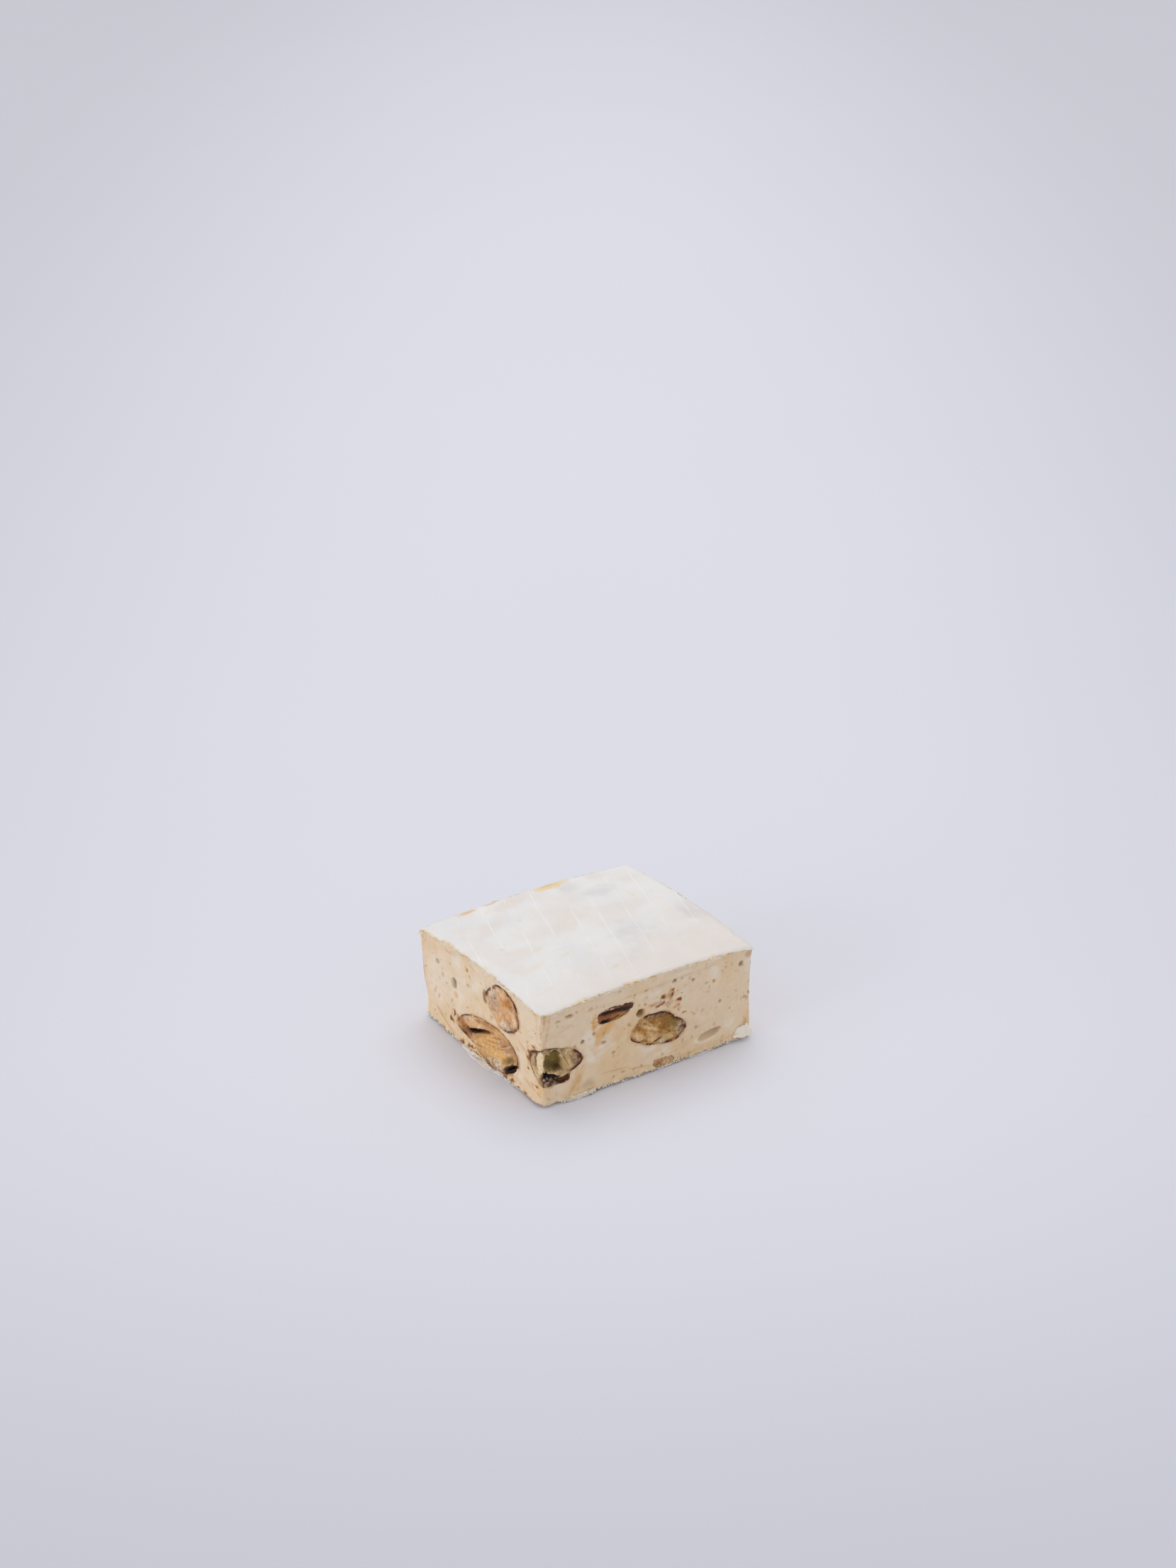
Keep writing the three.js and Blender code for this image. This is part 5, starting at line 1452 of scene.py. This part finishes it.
# Sizes are (least, spread, power) of a random half size in mm, stretches (least, most) of its length over it.
# seenClumps lie where granules gather, by their way round, and the others are random. pileSpan is where the
# pile starts, where it is thickest and where it ends.
crumbs = {
    "seed": 23, "edgeCount": 420, "farShare": 0.08, "edgeDrop": 0.14, "edgeSize": (0.06, 0.13, 2.5),
    "edgeStretch": (1.2, 2.8), "flatness": 0.7, "edgeShares": [0.32, 0.26, 0.14, 0.13, 0.15],
    "tones": [srgb(243, 223, 193), srgb(240, 212, 168), srgb(238, 204, 152), srgb(228, 170, 92),
              srgb(244, 232, 214)],
    "footCount": 620, "clumps": 26, "clumpSpread": 1.5, "footSize": (0.06, 0.17, 2.2),
    "seenClumps": (28.5, 31.0, 33.5, 36.0, 38.0, 40.5, 43.5, 14.5, 18.0, 21.5, 172.0, 176.5),
    "footStretch": (1.1, 2.0), "footShares": [0.44, 0.26, 0.12, 0.04, 0.14],
    "footTones": [srgb(255, 242, 216), srgb(252, 231, 196), srgb(246, 219, 174), srgb(232, 184, 116),
                  srgb(255, 247, 232)],
    "pileCount": 240, "pileSpan": (3.6, 8.2, 12.6), "pileSize": (0.07, 0.17, 2), "pileStretch": (1.1, 1.9),
    "pileTones": [srgb(255, 243, 220), srgb(250, 230, 196), srgb(255, 250, 238)],
    "strayCount": 12, "bitSize": 0.4, "bitThickness": 0.06, "strayHeights": (0.8, 19.4),
    "splinterDrift": (0.8, 0.6), "splinterHeights": (0.7, 19.6), "splinterThickness": 0.05,
    "splinterLength": (0.08, 0.24), "splinterWidth": (0.06, 0.14), "strayLength": (0.05, 0.16),
    "strayWidth": (0.05, 0.1), "splinterTone": srgb(214, 158, 100), "splinterAmount": 0.6,
    "skinTones": [srgb(158, 94, 36), srgb(174, 110, 50), srgb(132, 74, 24), srgb(194, 132, 68)],
}


def lumpSizes(rng, count, size, stretch, flatness):
    # Half sizes along, up and out for random lumps, most of them small.
    least, spread, power = size
    half = least + spread * rng.random(count) ** power
    return np.stack([half * rng.uniform(*stretch, count), half, half * flatness], -1)


def makeCrumbs():
    rng = np.random.default_rng(crumbs["seed"])
    # Along the top edge, where the knife dragged nougat over the sheet's rim.
    count = crumbs["edgeCount"]
    way = rng.uniform(-bar["depth"], bar["length"], count)
    way = np.where(rng.random(count) < crumbs["farShare"], way + wayRound / 2, way)
    place, _ = outline(way, cornerWidth(way))
    top = topHeight(place[:, 0] / halfLength, place[:, 1] / halfDepth)
    height = top + rng.normal(-crumbs["edgeDrop"], crumbs["edgeDrop"], count)
    sizes = lumpSizes(rng, count, crumbs["edgeSize"], crumbs["edgeStretch"], crumbs["flatness"])
    tints = np.array(crumbs["tones"])[rng.choice(5, count, p=crumbs["edgeShares"])]
    inward = 0.1 + 0.12 * rng.random(count)
    makeLumps("crumbs_edge", nougatCream, way, height, inward, sizes, tints, 31)
    # Along the foot, pale granules of torn wafer and nougat.
    count = crumbs["footCount"]
    clumps = np.concatenate([rng.uniform(0, wayRound, crumbs["clumps"]), crumbs["seenClumps"]])
    way = clumps[rng.integers(0, len(clumps), count)] + rng.normal(0, crumbs["clumpSpread"], count)
    sizes = lumpSizes(rng, count, crumbs["footSize"], crumbs["footStretch"], crumbs["flatness"])
    height = 0.2 + 0.6 * rng.random(count) ** 1.5
    tints = np.array(crumbs["footTones"])[rng.choice(5, count, p=crumbs["footShares"])]
    inward = 0.15 * rng.random(count)
    makeLumps("crumbs_foot", nougatCream, way, height, inward, sizes, tints, 37)
    # A pile of them lies before the front, where the sheet below has been torn to shreds.
    count = crumbs["pileCount"]
    way = rng.triangular(*crumbs["pileSpan"], count)
    sizes = lumpSizes(rng, count, crumbs["pileSize"], crumbs["pileStretch"], 1.0)
    height = 0.12 + 0.6 * rng.random(count)
    tints = np.array(crumbs["pileTones"])[rng.choice(3, count)]
    inward = 0.1 - 0.55 * rng.random(count) * (1.1 - height)
    makeLumps("crumbs_pile", waferPaper, way, height, inward, sizes, tints, 43)
    # Skin: the bits that show singly, a splinter near each, and a few strays over the whole wall.
    bits = placed(skinBits)
    half, thin, count = crumbs["bitSize"], crumbs["bitThickness"], len(bits)
    way = np.array([wayTo(side, along) for side, along, *_ in bits])
    height = np.array([bit[2] for bit in bits])
    sizes = np.array([(half * bit[3], half * bit[4], thin) for bit in bits])
    drift, upDrift = crumbs["splinterDrift"]
    nearWay = way + rng.normal(0, drift, count)
    nearHeight = np.clip(height + rng.normal(0, upDrift, count), *crumbs["splinterHeights"])
    nearLong, nearTall = (rng.uniform(*crumbs[key], count) for key in ("splinterLength", "splinterWidth"))
    nearSize = np.stack([nearLong, nearTall, np.full(count, crumbs["splinterThickness"])], -1)
    strays = crumbs["strayCount"]
    strayWay, strayHeight = rng.uniform(0, wayRound, strays), rng.uniform(*crumbs["strayHeights"], strays)
    strayLong, strayTall = (rng.uniform(*crumbs[key], strays) for key in ("strayLength", "strayWidth"))
    straySize = np.stack([strayLong, strayTall, np.full(strays, thin)], -1)
    way = np.concatenate([way, nearWay, strayWay])
    height = np.concatenate([height, nearHeight, strayHeight])
    sizes = np.concatenate([sizes, nearSize, straySize])
    tints = np.array(crumbs["skinTones"])[rng.choice(4, len(way))]
    tints[count:] = over(tints[count:], crumbs["splinterTone"], crumbs["splinterAmount"])
    makeLumps("skin_bits", almondSkin, way, height, np.full(len(way), 0.0), sizes, tints, 41)


makeCrumbs()
print("crumbs made")


# Flakes of torn wafer that lie against the wall, the largest folded up near the front right corner.

flakes = {
    "rows": 44, "columns": 60, "thickness": 0.09, "fray": 0.4, "clear": 0.12, "lowest": 0.12,
    "ripple": 0.16, "grit": 0.2, "largeGrit": 0.04, "narrowest": 0.2,
    "white": srgb(255, 246, 230), "warm": srgb(242, 212, 168), "warmth": 0.6,
    # along the side, height, half length, half height, tilt, lift at the free corner
    "places": {
        "front": [
            (22.2, 1.9, 1.8, 1.25, 14, 0.9), (-17.4, 0.5, 2.2, 0.36, 2, 0.3), (-14.4, 0.6, 1.2, 0.3, 12, 0.3),
        ],
        "left": [(1.5, 0.7, 1.6, 0.3, -4, 0.3), (-3.4, 0.5, 1.2, 0.26, 4, 0.4)],
        "right": [(9.0, 0.8, 1.8, 0.5, 10, 0.5)],
        "back": [(-9.0, 0.7, 2.0, 0.45, -6, 0.5)],
    },
}


def makeFlakes():
    # Each is a small closed sheet whose outline wavers, bent away from the wall towards one corner.
    rows, columns = flakes["rows"], flakes["columns"]
    u, v = np.meshgrid(np.linspace(-1, 1, columns), np.linspace(-1, 1, rows))
    one = sheetFaces(rows, columns)
    fray, least = flakes["fray"], flakes["narrowest"]
    allPoints, allFaces, allPaint = [], [], []
    for k, (side, along, height, a, b, tilt, lift) in enumerate(placed(flakes["places"])):
        flat = np.stack([u, v, 0 * u + 3.3 * k], -1)
        narrow = least + (1 - least) * rise(-1.1, 0.2, u)
        x = u * a * (1 + fray * cloud(flat, 0.42, 1.2) * np.abs(u) ** 3)
        y = v * b * narrow * (1 + fray * cloud(flat, 0.36, 4.2) * np.abs(v) ** 3)
        dx, dy = turned(x, y, -tilt)
        away = lift * rise(-0.9, 1.0, 0.6 * u - 0.5 * v) + flakes["ripple"] * cloud(flat, 0.4, 7.1)
        away = away + flakes["clear"]
        away = away + flakes["grit" if b < 1 else "largeGrit"] * rise(-0.1, 0.6, noise(flat, 0.12, 2.1))
        way = wayTo(side, along) + sideSign[side] * dx
        up = np.maximum(height + dy, flakes["lowest"])
        outer = wallPoint(way, up, -away - flakes["thickness"])
        inner = wallPoint(way, up, -away)
        faces = one if sideSign[side] > 0 else one[:, ::-1]
        allPoints.append(np.concatenate([outer.reshape(-1, 3), inner.reshape(-1, 3)]))
        allFaces.append(faces + 2 * rows * columns * k)
        tint = np.zeros(u.shape + (3,)) + flakes["white"]
        tint = over(tint, flakes["warm"], flakes["warmth"] * rise(0.0, 0.7, cloud(flat, 0.6)))
        allPaint.append(np.concatenate([tint.reshape(-1, 3)] * 2))
    points, faces, paint = (np.concatenate(a) for a in (allPoints, allFaces, allPaint))
    return makePiece("wafer_flakes", points, [faces], waferPaper, (), paint)


makeFlakes()
print("flakes made")
